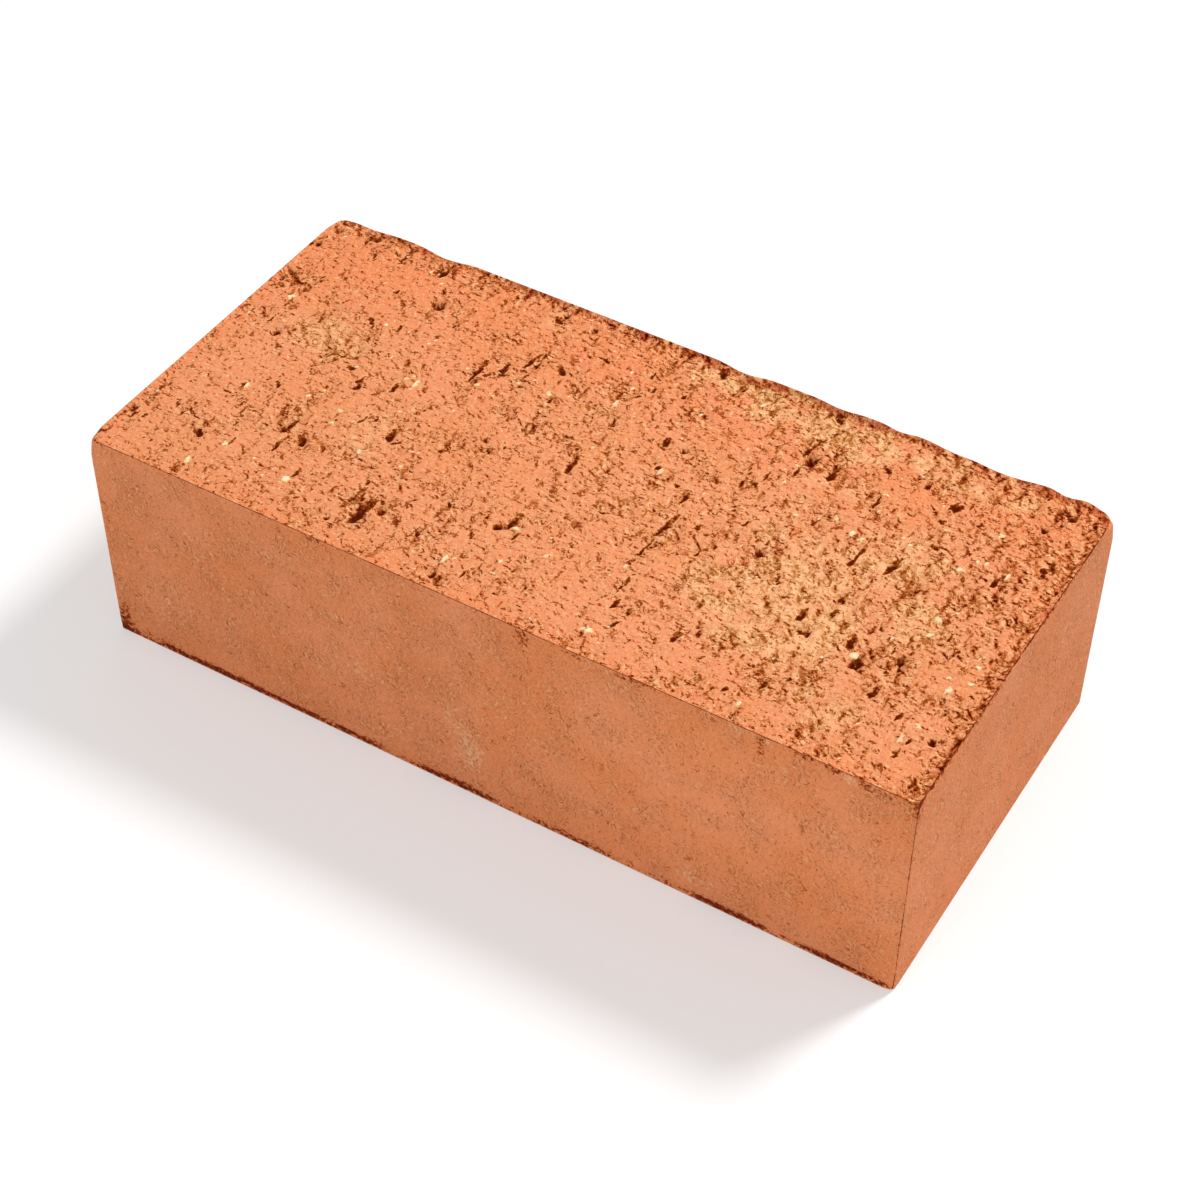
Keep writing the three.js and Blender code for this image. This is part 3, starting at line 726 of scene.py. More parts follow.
# How dark the clay of the upper bed is burnt: a ragged band along the far arris, wider to the
# right, a narrow one along the right arris, and their corner
def burntAt(points):
    x, y = (points[:, :2] - lowCorner[:2]).T
    ragged = cloud(points, "burnt") + cloud(points, "burntFine")
    start, end, more = brick["burntToRight"]
    amount = brick["burntAmount"] + more * ease(x, start, end) + brick["burntRagged"] * ragged
    band = ease(width - y, *brick["burntFar"]) * amount
    reach, amount, share = brick["burntRight"]
    band += amount * ease(length - x, reach, 0) * (share + ragged)
    reach, amount = brick["burntCorner"]
    return np.clip(band + amount * cone(x, y, length, width, reach, reach), 0, 1)


# Painted shadow along the near arrises, as under a burr: a dark hairline, its strength on the
# arris, falling straight to 0
def arrisShadowLine(points):
    x, y, z = (points - lowCorner).T
    seams = (
        (y, height - z, brick["nearArrisShadow"], 0.0),
        (y, length - x, brick["uprightArrisShadow"], 0.0),
        (length - x, height - z, brick["rightArrisShadow"], cloud(points, "seamRagged")),
    )
    lines = [
        (strength + more) * (1 - np.hypot(across, up) / halfWidth)
        for across, up, (halfWidth, strength), more in seams
    ]
    return np.clip(np.max(lines, axis=0) * (1 + cloud(points, "seamFade")), 0, 1)


# Height of the lower bed under its plane: plucked clay, crumbs and a few pits, all cut into it
def tearLowerBed(points):
    x, y = (points[:, :2] - lowCorner[:2]).T
    form = brick["lowerRelief"]
    crumb, tornCrumb = form["crumbs"]
    torn = np.clip(form["torn"] + cloud(points, "lowTorn") + cloud(points, "lowTornFine"), 0, 1)
    relief = -form["plucked"] * ease(torn, *form["pluckedFrom"]) * (1 + cloud(points, "lowPlucked"))
    relief += (crumb + tornCrumb * torn) * (cloud(points, "lowCrumbs") - 1)
    pit = np.clip(cloud(points, "lowPits") - form["fewPits"], 0, form["fullPit"])
    relief -= form["pits"] * pit
    rim = np.minimum(np.minimum(x, length - x), np.minimum(y, width - y))
    return relief * ease(rim, *form["rim"]), {"torn": torn, "pit": pit}


# How strong a torn crease is: over its spans, within its half width of a line that wanders,
# strength x (core - distance / half width), 0 to 1
def creaseAt(points, along, up, ragged, form):
    strength = form["everywhere"] + sum(
        share * ease(1 - np.abs(along - middle) / half, 0, brick["creaseEnds"])
        for middle, half, share in form["spans"]
    )
    strength += cloud(points, "slow") + form["ragged"] * ragged
    strength = np.clip(strength, 0, brick["creaseMost"])
    halfWidth = form["halfWidth"] * (1 + form["swell"] * cloud(points, "swell"))
    away = np.abs(up - form["fromArris"] - form["wander"] * ragged) / halfWidth
    return strength * np.clip(form["core"] - away, 0, 1)


# Height of the sides over their planes: faint waves, less the torn creases. Bloom, stains and
# paler clay are soft ellipses on the near side, and the right end has a stain and grows darker
# towards its far arris.
def markSides(points):
    x, y, z = (points - lowCorner).T
    near = y < hair
    right = x > length - hair
    ragged = cloud(points, "ragged")
    creases = np.maximum(
        creaseAt(points, x, z, ragged, brick["crease"]) * near,
        creaseAt(points, y, height - z, ragged, brick["endCrease"]) * right,
    )
    shows = {
        name: sum(amount * cone(x, z, *spot) * near for *spot, amount in brick[spots])
        for name, spots in (("bloom", "blooms"), ("sootAndCreaseShade", "stains"), ("paler", "paler"))
    }
    stains = sum(amount * cone(y, z, *spot) * right for *spot, amount in brick["endStains"])
    # the torn creases darken too, as painted shade, carried with the stains
    shows["sootAndCreaseShade"] += stains + brick["creaseDark"] * creases
    atNear, more = brick["endPaler"]
    shows["paler"] += right * (atNear + more * y / width) + cloud(points, "sidePatches")
    shows["seam"] = arrisShadowLine(points)
    return cloud(points, "sideWaves") - brick["creaseDepth"] * creases, shows


def makeBrick():
    points, quads, triangles = blockSkin()
    rounded, normals = roundArrises(points)
    upper = points[:, 2] > height - hair
    lower = points[:, 2] < hair
    relief = np.zeros(len(points))
    names = ("torn", "sandy", "pit", "grit", "seam", "bloom", "sootAndCreaseShade", "paler")
    shows = {name: np.zeros(len(points)) for name in names}
    works = (upper, tearUpperBed), (lower, tearLowerBed), (~(upper | lower), markSides)
    for part, work in works:
        relief[part], partShows = work(points[part])
        for name, values in partShows.items():
            shows[name][part] = values
    placed = (rounded + normals * relief[:, None]) * mm
    mesh = bpy.data.meshes.new("clay_brick")
    mesh.from_pydata(placed.tolist(), [], quads.tolist() + triangles.tolist())
    mesh.update()
    for name, values in shows.items():
        attribute = mesh.attributes.new(name, "FLOAT", "POINT")
        attribute.data.foreach_set("value", values.astype(np.float32))
    mesh.shade_smooth()
    bed = np.concatenate([(upper | lower)[quads].all(axis=1), np.zeros(len(triangles), bool)])
    mesh.materials.append(makeDieSkin())
    mesh.materials.append(makeTornBed())
    mesh.polygons.foreach_set("material_index", bed.astype(np.int32))
    piece = bpy.data.objects.new("clay_brick", mesh)
    bpy.context.collection.objects.link(piece)
    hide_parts("brick")
    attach(piece, "root")
    print(f"brick: {len(points)} points, {2 * len(quads) + len(triangles)} triangles")


clayColours = {
    "land": screen(239, 149, 105),
    "drifted": screen(234, 145, 96),
    "redder": screen(236, 137, 88),
    "burnt": screen(208, 106, 66),
    "sandy": screen(255, 190, 141),
    # painted highlight on lit lips, crests and pit rims, and the colour of pale specks on the die
    # skin
    "lipHighlight": screen(255, 205, 150),
    # painted shade of hollows, also used to darken stains: a tint raised to the depth
    "shadeAndStainTint": (0.17, 0.042, 0.005, 1.0),
    "grit": screen(250, 212, 160),
    "gritCore": screen(255, 238, 200),
    "skinBrown": screen(243, 146, 91),
    "skinPink": screen(249, 155, 104),
    "bloom": screen(255, 218, 168),
}

noises = {  # cells in a millimetre, detail, roughness
    "drift": (0.045, 3.0, 0.6), "sandySpeckle": (0.9, 3.0, 0.6), "mottle": (1.6, 5.0, 0.7),
    "broken": (0.6, 4.0, 0.6), "tearWarp": (0.5, 2.0, 0.5), "tearRagged": (1.5, 3.0, 0.65),
    "speckWarp": (1.2, 2.0, 0.5), "lumps": (1.05, 3.0, 0.6), "grain": (2.0, 4.0, 0.7),
    "bedRagged": (1.3, 3.0, 0.6), "dimpleShade": (0.55, 4.0, 0.65),
    "skinRagged": (1.1, 3.0, 0.65), "skinPatches": (0.12, 3.0, 0.6), "streaks": (1.1, 3.0, 0.6),
    "skinSpeckle": (1.8, 1.0, 0.5), "skinWarp": (0.4, 2.0, 0.5), "clumps": (1.0, 4.0, 0.7),
    "stainRagged": (1.1, 4.0, 0.65),
}


def noise(tree, point, kind, scale=None, output="Fac"):
    usual, detail, roughness = noises[kind]
    inputs = {"Vector": point, "Scale": usual if scale is None else scale,
              "Detail": detail, "Roughness": roughness}
    return addNode(tree, "ShaderNodeTexNoise", inputs, noise_dimensions="2D").outputs[output]


# The same, round 0
def raggedNoise(tree, point, kind, scale=None):
    return minus(tree, noise(tree, point, kind, scale), 0.5)


# Cells round scattered places, each with a colour of its own: three draws from 0 to 1
def cellsOf(tree, point, scale):
    inputs = {"Vector": point, "Scale": scale}
    return addNode(tree, "ShaderNodeTexVoronoi", inputs, voronoi_dimensions="2D").outputs


# Painted shade of hollows: deep clay sees more of itself than of the sky, so it goes dark and
# red at once, and that shade is painted into the colour; stains are darkened the same way. The
# colour is multiplied by a tint raised to the depth
def makeShadeAndStain():
    tree, given = startGroup("shadeAndStain", {"Color": white, "Depth": 0.0}, ["Color"])
    inputs = {"Color": clayColours["shadeAndStainTint"], "Gamma": given["Depth"]}
    tint = addNode(tree, "ShaderNodeGamma", inputs).outputs[0]
    return endGroup(tree, {"Color": vectorMath(tree, "MULTIPLY", given["Color"], tint)})


toneForm = {
    "drift": (0.35, 0.65),  # noise at which the first and the second colour are plain
    "speckle": (0.4, 0.75),
    "sandy": (1.3, -0.25, 0.45),  # times the sandiness, plus, and times the speckle
    "sandyFrom": (0.02, 0.3),
    "chunks": (1.5, 0.12),  # cells in a millimetre, share in the mottling
    "mottle": (0.31, 0.81, 0.8, 1.2),  # from and to, and what they multiply the colour by
}


# Slow drift between two clay colours, with sandy clay where it is torn, and all of it times
# a fine mottling: 1 + (gain - 1) x mottle
def makeClayTone():
    inputs = {"Point": origin, "First": white, "Second": white, "Sandy Colour": white,
              "Sandy": 0.0, "Mottle": 0.5}
    tree, given = startGroup("clayTone", inputs, ["Color", "Fine"])
    drift = ramp(tree, noise(tree, given["Point"], "drift"), *toneForm["drift"])
    tone = blend(tree, drift, given["First"], given["Second"])
    speckle = ramp(tree, noise(tree, given["Point"], "sandySpeckle"), *toneForm["speckle"])
    times, plus, speckled = toneForm["sandy"]
    sandy = timesPlus(tree, given["Sandy"], times, plus)
    sandy = calculate(tree, "ADD", sandy, product(tree, speckle, speckled), clamp=True)
    sandy = product(tree, sandy, ramp(tree, given["Sandy"], *toneForm["sandyFrom"]))
    tone = blend(tree, sandy, tone, given["Sandy Colour"])
    scale, share = toneForm["chunks"]
    chunks = splitColour(tree, cellsOf(tree, given["Point"], scale)["Color"])[0]
    fine = timesPlus(tree, chunks, share, noise(tree, given["Point"], "mottle"))
    gain = minus(tree, ramp(tree, fine, *toneForm["mottle"]), 1.0)
    gain = timesPlus(tree, gain, given["Mottle"], 1.0)
    return endGroup(tree, {"Color": scaled(tree, tone, gain), "Fine": fine})


tearForm = {
    # how far noise moves the points, in mm: times and plus; and cells that cut the strokes up
    "bend": ((2.4, 2.4, 2.4), (-1.2, -1.2, -1.2)),
    "jag": ((0.55, 0.55, 0.55), (-0.28, -0.28, -0.28)),
    "jagScale": 2.0,
    "fray": 0.6,  # how far the ragged noise moves a stroke sideways, and how it swells it
    "swell": 4.5,
    "redraws": (9.7, 17.3),
    "sizes": (0.45, 1.25),  # smallest and largest, times the half length and half width
    "strengths": (0.5, 1.3),  # faintest and darkest
    "alongIt": (-0.7, 0.9, 1.0, 0.25),  # darker at the near end, paler at the far one
    "acrossIt": (-0.8, 1.0, 1.1, 0.4),  # darker at the near flank: a painted shadow
    "thinnest": 0.05,
    "dark": (-0.1, 0.12),  # mm inside the stroke's rim, where the dark starts and is full
    "lipHighlight": (-0.4, -0.15, -0.05, -0.13),  # the same of the lip's painted highlight, on its way up and down
    "lipRagged": (-0.05, 0.1, 0.2, 1.0),
    "lipTaper": (0.0, 0.5),
    "lipFlank": (-0.2, 0.2, 0.35, 1.0),  # the far flank stands in the light: a painted highlight there
    "kinds": [  # mm and degrees; few and many: the share of cells with a tear
        {"Cells": 0.26, "Half Length": 2.0, "Half Width": 0.42, "Turn": 100, "Spread": 80,
         "Curl": 0.4, "few": 0.06, "many": 0.54, "shift": (0, 0, 0)},
        {"Cells": 0.5, "Half Length": 0.9, "Half Width": 0.24, "Turn": 120, "Spread": 200,
         "Curl": 0.8, "few": 0.15, "many": 0.76, "shift": (31, 17, 0)},
    ],
    "lipHeight": 0.4,  # of a lip over the clay, where a tear is 1 deep
}


# A fresh draw from 0 to 1 out of another one
def redraw(tree, draw, times):
    return calculate(tree, "FRACT", product(tree, draw, times))


# One stroke in some of the cells: a bent line, side + curl x along^2, whose half width tapers
# to both ends as 1 - (along / half length)^2. Its turn, bend and size are drawn for each cell,
# and it is left out where the draw is over the chosen share.
def makeTearStroke():
    inputs = {"Point": origin, "Ragged": 0.0, "Cells": 0.5, "Chosen": 0.5, "Half Length": 1.0,
              "Half Width": 0.2, "Turn": 0.0, "Spread": 2.0, "Curl": 0.5}
    tree, given = startGroup("tearStroke", inputs, ["Tear Shade", "Highlight"])
    cells = cellsOf(tree, given["Point"], given["Cells"])
    draws = splitColour(tree, cells["Color"])
    x, y, _ = splitVector(tree, vectorMath(tree, "SUBTRACT", given["Point"], cells["Position"]))
    turn = timesPlus(tree, minus(tree, draws[0], 0.5), given["Spread"], given["Turn"])
    cosine, sine = calculate(tree, "COSINE", turn), calculate(tree, "SINE", turn)
    along = timesPlus(tree, x, cosine, product(tree, y, sine))
    side = minus(tree, product(tree, y, cosine), product(tree, x, sine))
    curl = product(tree, minus(tree, draws[1], 0.5), given["Curl"])
    side = timesPlus(tree, product(tree, along, along), curl, side)
    side = timesPlus(tree, given["Ragged"], tearForm["fray"], side)
    again, third = tearForm["redraws"]
    times = between(tree, redraw(tree, draws[1], again), *tearForm["sizes"])
    share = calculate(tree, "DIVIDE", along, product(tree, given["Half Length"], times))
    taper = minus(tree, 1.0, product(tree, share, share))
    swell = timesPlus(tree, given["Ragged"], tearForm["swell"], 1.0)
    half = product(tree, given["Half Width"], times, taper, swell)
    inside = minus(tree, half, calculate(tree, "ABSOLUTE", side))
    chosen = calculate(tree, "LESS_THAN", draws[2], given["Chosen"])
    strength = redraw(tree, draws[2], third)
    strength = between(tree, product(tree, strength, strength), *tearForm["strengths"])
    flank = calculate(tree, "DIVIDE", side, largest(tree, half, tearForm["thinnest"]))
    # the tear's dark: partly darker clay, partly painted shade
    tearShade = product(
        tree, ramp(tree, inside, *tearForm["dark"]), chosen, strength,
        ramp(tree, share, *tearForm["alongIt"]), ramp(tree, flank, *tearForm["acrossIt"]),
    )
    # the lip's painted highlight, on the far flank
    lipHighlight = product(
        tree, ramp(tree, inside, *tearForm["lipHighlight"][:2]), ramp(tree, inside, *tearForm["lipHighlight"][2:]),
        chosen, ramp(tree, given["Ragged"], *tearForm["lipRagged"]),
        ramp(tree, taper, *tearForm["lipTaper"]), ramp(tree, side, *tearForm["lipFlank"]),
    )
    return endGroup(tree, {"Tear Shade": tearShade, "Highlight": lipHighlight})


tearStroke = makeTearStroke()


# Tears of two kinds together, short bent ones and fine ones: the darker tear, partly darker clay
# and partly painted shade, and the lip's painted highlight of the two at each point. More of them
# open where the density is high.
def makeTearMarks():
    inputs = {"Point": origin, "Density": 0.5, "Width": 1.0}
    tree, given = startGroup("tearMarks", inputs, ["Tear Shade", "Highlight", "Height"])
    point = given["Point"]
    bend = noise(tree, point, "tearWarp", output="Color")
    bend = vectorMath(tree, "MULTIPLY_ADD", bend, *tearForm["bend"])
    jag = cellsOf(tree, point, tearForm["jagScale"])["Color"]
    jag = vectorMath(tree, "MULTIPLY_ADD", jag, *tearForm["jag"])
    bent = vectorMath(tree, "ADD", vectorMath(tree, "ADD", point, bend), jag)
    uneven = raggedNoise(tree, point, "tearRagged")
    strokes = []
    for kind in tearForm["kinds"]:
        strokes.append(useGroup(tree, tearStroke, {
            "Point": vectorMath(tree, "ADD", bent, kind["shift"]),
            "Ragged": uneven,
            "Cells": kind["Cells"],
            "Chosen": between(tree, given["Density"], kind["few"], kind["many"]),
            "Half Length": kind["Half Length"],
            "Half Width": product(tree, given["Width"], kind["Half Width"]),
            "Turn": radians(kind["Turn"]),
            "Spread": radians(kind["Spread"]),
            "Curl": kind["Curl"],
        }))
    tearShade, lipHighlight = (largest(tree, *(stroke[name] for stroke in strokes)) for name in ("Tear Shade", "Highlight"))
    raised = weighted(tree, (tearShade, -1.0), (lipHighlight, tearForm["lipHeight"]))
    return endGroup(tree, {"Tear Shade": tearShade, "Highlight": lipHighlight, "Height": raised})


breakForm = {
    "tearShade": (-0.06, 0.15),  # rise over the limit, where the painted shade on an edge starts and is full
    "tearCurve": (1.8, 1.4),  # power and gain
    "lipHighlight": (0.0, 0.11),
}


# Broken edges of clay in painted light: a cloudy height is compared with itself a little way off,
# and where it rises steeply away from the near side, the edge gets painted shade; where it falls,
# it gets a painted highlight, as if it stood in the light
def makeBreaks():
    inputs = {"Point": origin, "Scale": 0.6, "Reach": origin, "Limit": 0.1}
    tree, given = startGroup("breaks", inputs, ["Tear Shade", "Highlight", "Height"])
    off = vectorMath(tree, "ADD", given["Point"], given["Reach"])
    here = noise(tree, given["Point"], "broken", given["Scale"])
    rise = minus(tree, noise(tree, off, "broken", given["Scale"]), here)
    power, gain = breakForm["tearCurve"]
    tearShade = ramp(tree, minus(tree, rise, given["Limit"]), *breakForm["tearShade"])
    tearShade = product(tree, calculate(tree, "POWER", tearShade, power), gain)
    fall = minus(tree, product(tree, rise, -1.0), given["Limit"])
    lipHighlight = ramp(tree, fall, *breakForm["lipHighlight"])
    return endGroup(tree, {"Tear Shade": tearShade, "Highlight": lipHighlight, "Height": minus(tree, here, 0.5)})


speckForm = {
    "bend": (0.8, 0.8, 0.8),  # mm
    "rim": 0.06,  # how soft a grain's rim is
}


# Small grit: one grain in some of the cells, each a blob of the given size, in bent cells
def makeGritSpecks():
    inputs = {"Point": origin, "Scale": 0.4, "Share": 0.2, "Size": 0.15}
    tree, given = startGroup("gritSpecks", inputs, ["Mask"])
    bend = noise(tree, given["Point"], "speckWarp", output="Color")
    bent = vectorMath(tree, "MULTIPLY_ADD", bend, speckForm["bend"], given["Point"])
    cells = cellsOf(tree, bent, given["Scale"])
    chosen = calculate(tree, "LESS_THAN", splitColour(tree, cells["Color"])[0], given["Share"])
    inside = minus(tree, given["Size"], cells["Distance"])
    blob = product(tree, ramp(tree, inside, 0.0, speckForm["rim"]), chosen)
    return endGroup(tree, {"Mask": blob})


crumbForm = {
    "limit": (0.74, 0.53),  # noise over which a hole opens, where there are few and many
    "hole": 0.07,  # how far over it the hole is full
    "crest": 0.08,
}


# Crumbs: holes where a noise is over the limit, and lumps where it is as far under; a hole gets
# painted shade and a lump's crest a painted highlight
def makeCrumbs():
    inputs = {"Point": origin, "Amount": 0.5}
    tree, given = startGroup("crumbs", inputs, ["Tear Shade", "Highlight", "Height"])
    lumps = noise(tree, given["Point"], "lumps")
    limit = between(tree, given["Amount"], *crumbForm["limit"])
    hole = ramp(tree, minus(tree, lumps, limit), 0.0, crumbForm["hole"])
    under = minus(tree, minus(tree, 1.0, limit), lumps)
    crest = ramp(tree, under, 0.0, crumbForm["crest"])
    return endGroup(tree, {"Tear Shade": hole, "Highlight": crest, "Height": minus(tree, crest, hole)})


# Fine clay grain, finer and coarser together
def makeFineGrain():
    tree, given = startGroup("fineGrain", {"Point": origin, "Scale": 2.0}, ["Height"])
    return endGroup(tree, {"Height": raggedNoise(tree, given["Point"], "grain", given["Scale"])})


shadeAndStain = makeShadeAndStain()
clayTone = makeClayTone()
tearMarks = makeTearMarks()
breaks = makeBreaks()
gritSpecks = makeGritSpecks()
crumbs = makeCrumbs()
fineGrain = makeFineGrain()
print("finishes: tone, tears, breaks, crumbs, specks and grain")


# Position on the object, in millimetres
def pointInMm(tree):
    return scaled(tree, tree.nodes.new("ShaderNodeTexCoord").outputs["Object"], 1 / mm)


endFacing = 0.7  # a face whose normal has more than this along X belongs to an end


# The same, turned so that its first two numbers run along an upright side and up it
def sidePointInMm(tree):
    x, y, z = splitVector(tree, pointInMm(tree))
    facing = splitVector(tree, tree.nodes.new("ShaderNodeTexCoord").outputs["Normal"])[0]
    atEnd = calculate(tree, "GREATER_THAN", calculate(tree, "ABSOLUTE", facing), endFacing)
    along = between(tree, atEnd, x, y)
    across = between(tree, atEnd, y, x)
    return addNode(tree, "ShaderNodeCombineXYZ", {0: along, 1: z, 2: across}).outputs[0]


# An attribute of the mesh plus noise, so that what is drawn from it frays at its rim
def frayed(tree, name, uneven, amount):
    return timesPlus(tree, uneven, amount, readAttribute(tree, name))


def finishMaterial(tree, colour, roughness, heightInMm, specular):
    bump = addNode(tree, "ShaderNodeBump", {"Height": heightInMm, "Distance": mm, "Strength": 1.0})
    shader = addNode(tree, "ShaderNodeBsdfPrincipled", {
        "Base Color": colour, "Roughness": roughness, "Normal": bump.outputs[0],
        "Specular IOR Level": specular,
    })
    addNode(tree, "ShaderNodeOutputMaterial", {"Surface": shader.outputs[0]})


bedFinish = {
    "roughness": 0.92,
    "specular": 0.05,
    # pairs hold the value where the bed is whole and where it is torn
    "mottle": (0.55, 1.1),
    "tornMottle": (0.0, 0.8),  # how torn it is at the one and at the other
    "wide": {"Scale": 0.32, "Reach": (0.7, 0.15, 0.0)},  # wide broken edges, with their painted shade and highlight
    "wideLimit": (0.19, 0.03),
    "thin": {"Scale": 0.66, "Reach": (0.14, 0.4, 0.0)},  # thin ones
    "thinLimit": (0.15, 0.06),
    "thinStretch": (0.82, 1.0, 1.0),
    "specks": {"Scale": 0.5, "Share": 0.14, "Size": 0.13},
    "crumbs": 0.3,
    "dimpleShift": (41.0, 7.0, 0.0),
    "fray": {"sootAndCreaseShade": 1.2, "pit": 1.2, "seam": 0.9, "grit": 0.9},
    # from where to where each mask rises
    "rises": {
        "redder": (0.0, -0.7), "burnt": (0.1, 0.8), "crest": (0.6, 0.74), "crestTorn": (0.05, 0.6),
        "rim": (0.02, 0.2), "pit": (0.3, 0.85), "seam": (0.3, 0.6), "grit": (0.3, 0.42),
        "gritCore": (0.5, 0.75), "crumbly": (0.1, 0.8), "dimpleShade": (0.48, 0.72),
    },
    # how far each goes to its own colour, crest and rim to the painted highlight; "sandy" and
    # "burnt" multiply the painted highlights there
    "paint": {"redder": 0.9, "burnt": 0.9, "crest": 0.7, "rim": 0.4, "specks": 0.6},
    "sandyPale": (0.75, 1.0),
    "burntPale": (1.0, 0.15),
    # how deep each looks, for the painted shade that darkens it
    "dark": {"thin": 1.1, "crumbs": 0.7, "pit": 1.3, "seam": 0.9, "dimpleShade": 0.18},
    "sandyDark": (1.0, 0.6),
    # how high each stands, in mm
    "heights": {"marks": 0.09, "wide": 0.25, "crumbs": 0.08, "specks": 0.03, "uneven": 0.1},
    "grainScale": 1.9,
    "grain": (0.12, 0.25),
    "tornGrain": (0.0, 0.7),
}


# The torn beds: clay tone, redder and burnt where the mesh says so, then painted highlights on
# lips, crests and rims, then painted shade in every tear and pit (in the tears partly darker clay),
# and last the grit, which isn't darkened
def makeTornBed():
    material, tree = startMaterial("tornBed")
    form = bedFinish
    paint, dark, heights = form["paint"], form["dark"], form["heights"]

    def mask(value, name):
        return ramp(tree, value, *form["rises"][name])

    def worn(name):
        return frayed(tree, name, uneven, form["fray"][name])

    point = pointInMm(tree)
    torn = readAttribute(tree, "torn")
    sandy = readAttribute(tree, "sandy")
    crumbly = mask(sandy, "crumbly")
    uneven = raggedNoise(tree, point, "bedRagged")
    tone = useGroup(tree, clayTone, {
        "Point": point, "First": clayColours["land"], "Second": clayColours["drifted"],
        "Sandy Colour": clayColours["sandy"], "Sandy": sandy,
        "Mottle": ramp(tree, torn, *form["tornMottle"], *form["mottle"]),
    })
    redness = product(tree, mask(sandy, "redder"), paint["redder"])
    colour = blend(tree, redness, tone["Color"], clayColours["redder"])
    burnt = mask(worn("sootAndCreaseShade"), "burnt")
    colour = blend(tree, product(tree, burnt, paint["burnt"]), colour, clayColours["burnt"])
    # painted highlight on fine crests where it is torn
    crest = product(tree, mask(tone["Fine"], "crest"), mask(torn, "crestTorn"))
    marks = useGroup(tree, tearMarks, {"Point": point, "Density": torn, "Width": 1.0})
    wideLimit = between(tree, torn, *form["wideLimit"])
    wide = useGroup(tree, breaks, {**form["wide"], "Point": point, "Limit": wideLimit})
    stretched = vectorMath(tree, "MULTIPLY", point, form["thinStretch"])
    thinLimit = between(tree, torn, *form["thinLimit"])
    thin = useGroup(tree, breaks, {**form["thin"], "Point": stretched, "Limit": thinLimit})
    crumbled = weighted(tree, (torn, form["crumbs"]), (sandy, form["crumbs"]))
    broken = useGroup(tree, crumbs, {"Point": point, "Amount": crumbled})
    specks = useGroup(tree, gritSpecks, {**form["specks"], "Point": point})["Mask"]
    pit, grit = worn("pit"), worn("grit")
    # painted highlights on the lit lips of tears, broken edges and crumbs
    lipHighlight = largest(tree, marks["Highlight"], wide["Highlight"], thin["Highlight"], broken["Highlight"])
    lipHighlight = product(tree, lipHighlight, between(tree, crumbly, *form["sandyPale"]))
    # painted highlight on the rims of pits
    rim = mask(pit, "rim")
    lipHighlight = largest(tree, lipHighlight, product(tree, crest, paint["crest"]), product(tree, rim, paint["rim"]))
    lipHighlight = product(tree, lipHighlight, between(tree, burnt, *form["burntPale"]))
    colour = blend(tree, lipHighlight, colour, clayColours["lipHighlight"])
    colour = blend(tree, product(tree, specks, paint["specks"]), colour, clayColours["grit"])
    # painted shade in tears, broken edges and crumb holes (in the tears partly darker clay), then
    # in pits and along the arrises
    depth = largest(
        tree, marks["Tear Shade"], wide["Tear Shade"], product(tree, thin["Tear Shade"], dark["thin"]),
        product(tree, broken["Tear Shade"], dark["crumbs"]),
    )
    depth = product(tree, depth, between(tree, crumbly, *form["sandyDark"]))
    depth = largest(
        tree, depth, product(tree, mask(pit, "pit"), dark["pit"]),
        product(tree, mask(worn("seam"), "seam"), dark["seam"]),
    )
    # painted shade in soft dimples of the sandy clay
    shifted = vectorMath(tree, "ADD", point, form["dimpleShift"])
    dimpleShade = product(tree, mask(noise(tree, shifted, "dimpleShade"), "dimpleShade"), crumbly)
    depth = timesPlus(tree, dimpleShade, dark["dimpleShade"], depth)
    colour = useGroup(tree, shadeAndStain, {"Color": colour, "Depth": depth})["Color"]
    core = mask(grit, "gritCore")
    gritColour = blend(tree, core, clayColours["grit"], clayColours["gritCore"])
    colour = blend(tree, mask(grit, "grit"), colour, gritColour)
    grain = useGroup(tree, fineGrain, {"Point": point, "Scale": form["grainScale"]})["Height"]
    grainHeight = ramp(tree, torn, *form["tornGrain"], *form["grain"])
    raised = weighted(
        tree, (marks["Height"], heights["marks"]), (wide["Height"], heights["wide"]),
        (broken["Height"], heights["crumbs"]), (grain, grainHeight), (specks, heights["specks"]),
        (uneven, heights["uneven"]),
    )
    finishMaterial(tree, colour, form["roughness"], raised, form["specular"])
    return material


skinFinish = {
    "roughness": 0.85,
    "specular": 0.2,
    "mottle": 0.65,
    "patches": (0.35, 0.65),  # noise from which to which the skin goes from fine to coarse
    "streakStretch": (1.0, 0.2, 1.0),
    "streaks": (0.3, 0.7, 0.97, 1.03),
    "paler": 0.1,
    # pairs hold the value where the skin is fine and where it is coarse
    "speckle": (0.2, 0.46),
    "flakes": {"Scale": 1.1, "Reach": (0.24, 0.1, 0.0)},
    "flakeLimit": (0.14, 0.07),
    "flakeBend": (4.0, 4.0, 0.0),
    "grainScale": 2.6,
    "grain": (0.08, 0.2),  # mm
    "flakeHeight": -0.03,
    "marks": {"Density": 0.0, "Width": 0.45},
    "darkSpecks": {"Scale": 0.35, "Share": 0.25, "Size": 0.07},
    "darkShift": (31.0, 17.0, 9.0),
    "paleSpecks": {"Scale": 0.6, "Share": 0.2, "Size": 0.13},
    "seam": (1.3, 0.3, 0.7),  # painted shadow along the arrises: fray, and from where to where it rises
    "bloom": (0.25, 0.63, 0.71),
    # stains, with painted shade in the creases: fray, and from where to where they rise
    "sootAndCreaseShade": (3.0, 0.3, 1.0),
    "markEdge": (0.0, 0.15),  # bloom and stains end where less of them is left than this
    # how far each goes to its own colour: the flakes' painted highlight, pale specks and white
    # bloom
    "paint": {"flakes": 0.72, "pale": 0.5, "bloom": 0.55},
    # how deep each looks: tears and specks, painted shade on the flakes and arrises, and stains
    # with painted shade in the creases
    "dark": {"marks": 0.5, "flakes": 0.27, "seam": 1.1, "sootAndCreaseShade": 0.95},
}
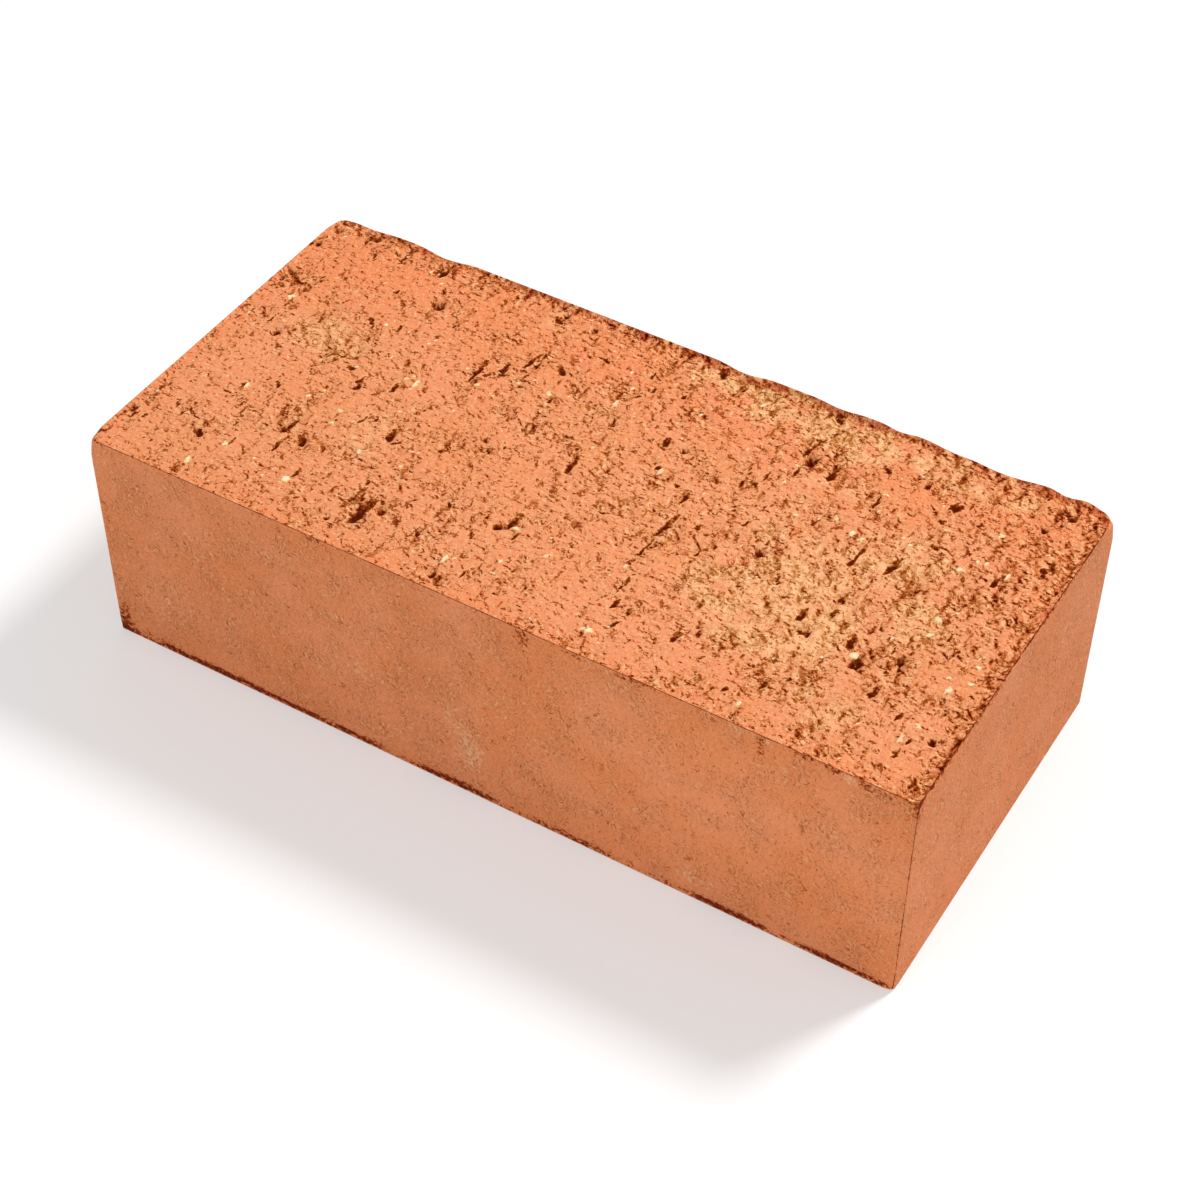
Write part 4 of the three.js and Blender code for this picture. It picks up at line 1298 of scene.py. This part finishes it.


# The die skin: clay tone times streaks, speckle and paler patches, then painted highlights on the
# flakes and pale grit, white bloom, and the darkening of specks and stains, with painted shade on
# the flakes, along the arrises and in the torn creases, and in part on the tears
def makeDieSkin():
    material, tree = startMaterial("dieSkin")
    form = skinFinish
    paint, dark = form["paint"], form["dark"]
    point = sidePointInMm(tree)
    coarse = ramp(tree, noise(tree, point, "skinPatches"), *form["patches"])
    tone = useGroup(tree, clayTone, {
        "Point": point, "First": clayColours["skinBrown"], "Second": clayColours["skinPink"],
        "Sandy Colour": clayColours["sandy"], "Sandy": 0.0, "Mottle": form["mottle"],
    })["Color"]
    stretched = vectorMath(tree, "MULTIPLY", point, form["streakStretch"])
    gain = ramp(tree, noise(tree, stretched, "streaks"), *form["streaks"])
    gain = timesPlus(tree, readAttribute(tree, "paler"), form["paler"], gain)
    speckle = between(tree, coarse, *form["speckle"])
    gain = timesPlus(tree, raggedNoise(tree, point, "skinSpeckle"), speckle, gain)
    colour = scaled(tree, tone, gain)
    bend = noise(tree, point, "skinWarp", output="Color")
    bent = vectorMath(tree, "MULTIPLY_ADD", bend, form["flakeBend"], point)
    limit = between(tree, coarse, *form["flakeLimit"])
    flakes = useGroup(tree, breaks, {**form["flakes"], "Point": bent, "Limit": limit})
    marks = useGroup(tree, tearMarks, {**form["marks"], "Point": point})
    shifted = vectorMath(tree, "ADD", point, form["darkShift"])
    specks = useGroup(tree, gritSpecks, {**form["darkSpecks"], "Point": shifted})["Mask"]
    pale = useGroup(tree, gritSpecks, {**form["paleSpecks"], "Point": point})["Mask"]
    fray, *rise = form["seam"]
    seam = ramp(tree, frayed(tree, "seam", raggedNoise(tree, point, "skinRagged"), fray), *rise)
    share, *rise = form["bloom"]
    amount = readAttribute(tree, "bloom")
    bloom = ramp(tree, timesPlus(tree, amount, share, noise(tree, point, "clumps")), *rise)
    bloom = product(tree, bloom, ramp(tree, amount, *form["markEdge"]))
    fray, *rise = form["sootAndCreaseShade"]
    sootAndCreaseShade = ramp(tree, frayed(tree, "sootAndCreaseShade", raggedNoise(tree, point, "stainRagged"), fray), *rise)
    sootAndCreaseShade = product(tree, sootAndCreaseShade, ramp(tree, readAttribute(tree, "sootAndCreaseShade"), *form["markEdge"]))
    # painted highlight on the flakes' lit edges, with pale specks
    lipHighlight = largest(
        tree, product(tree, flakes["Highlight"], paint["flakes"]), product(tree, pale, paint["pale"]),
    )
    colour = blend(tree, lipHighlight, colour, clayColours["lipHighlight"])
    colour = blend(tree, product(tree, bloom, paint["bloom"]), colour, clayColours["bloom"])
    # tears, partly painted shade, and specks; painted shade on the flakes, along the arrises and in
    # the creases, with the stains
    depth = largest(
        tree, product(tree, largest(tree, marks["Tear Shade"], specks), dark["marks"]),
        product(tree, flakes["Tear Shade"], dark["flakes"]), product(tree, seam, dark["seam"]),
        product(tree, sootAndCreaseShade, dark["sootAndCreaseShade"]),
    )
    colour = useGroup(tree, shadeAndStain, {"Color": colour, "Depth": depth})["Color"]
    grain = useGroup(tree, fineGrain, {"Point": point, "Scale": form["grainScale"]})["Height"]
    raised = weighted(
        tree, (grain, between(tree, coarse, *form["grain"])),
        (flakes["Tear Shade"], form["flakeHeight"]),
    )
    finishMaterial(tree, colour, form["roughness"], raised, form["specular"])
    return material


makeBrick()
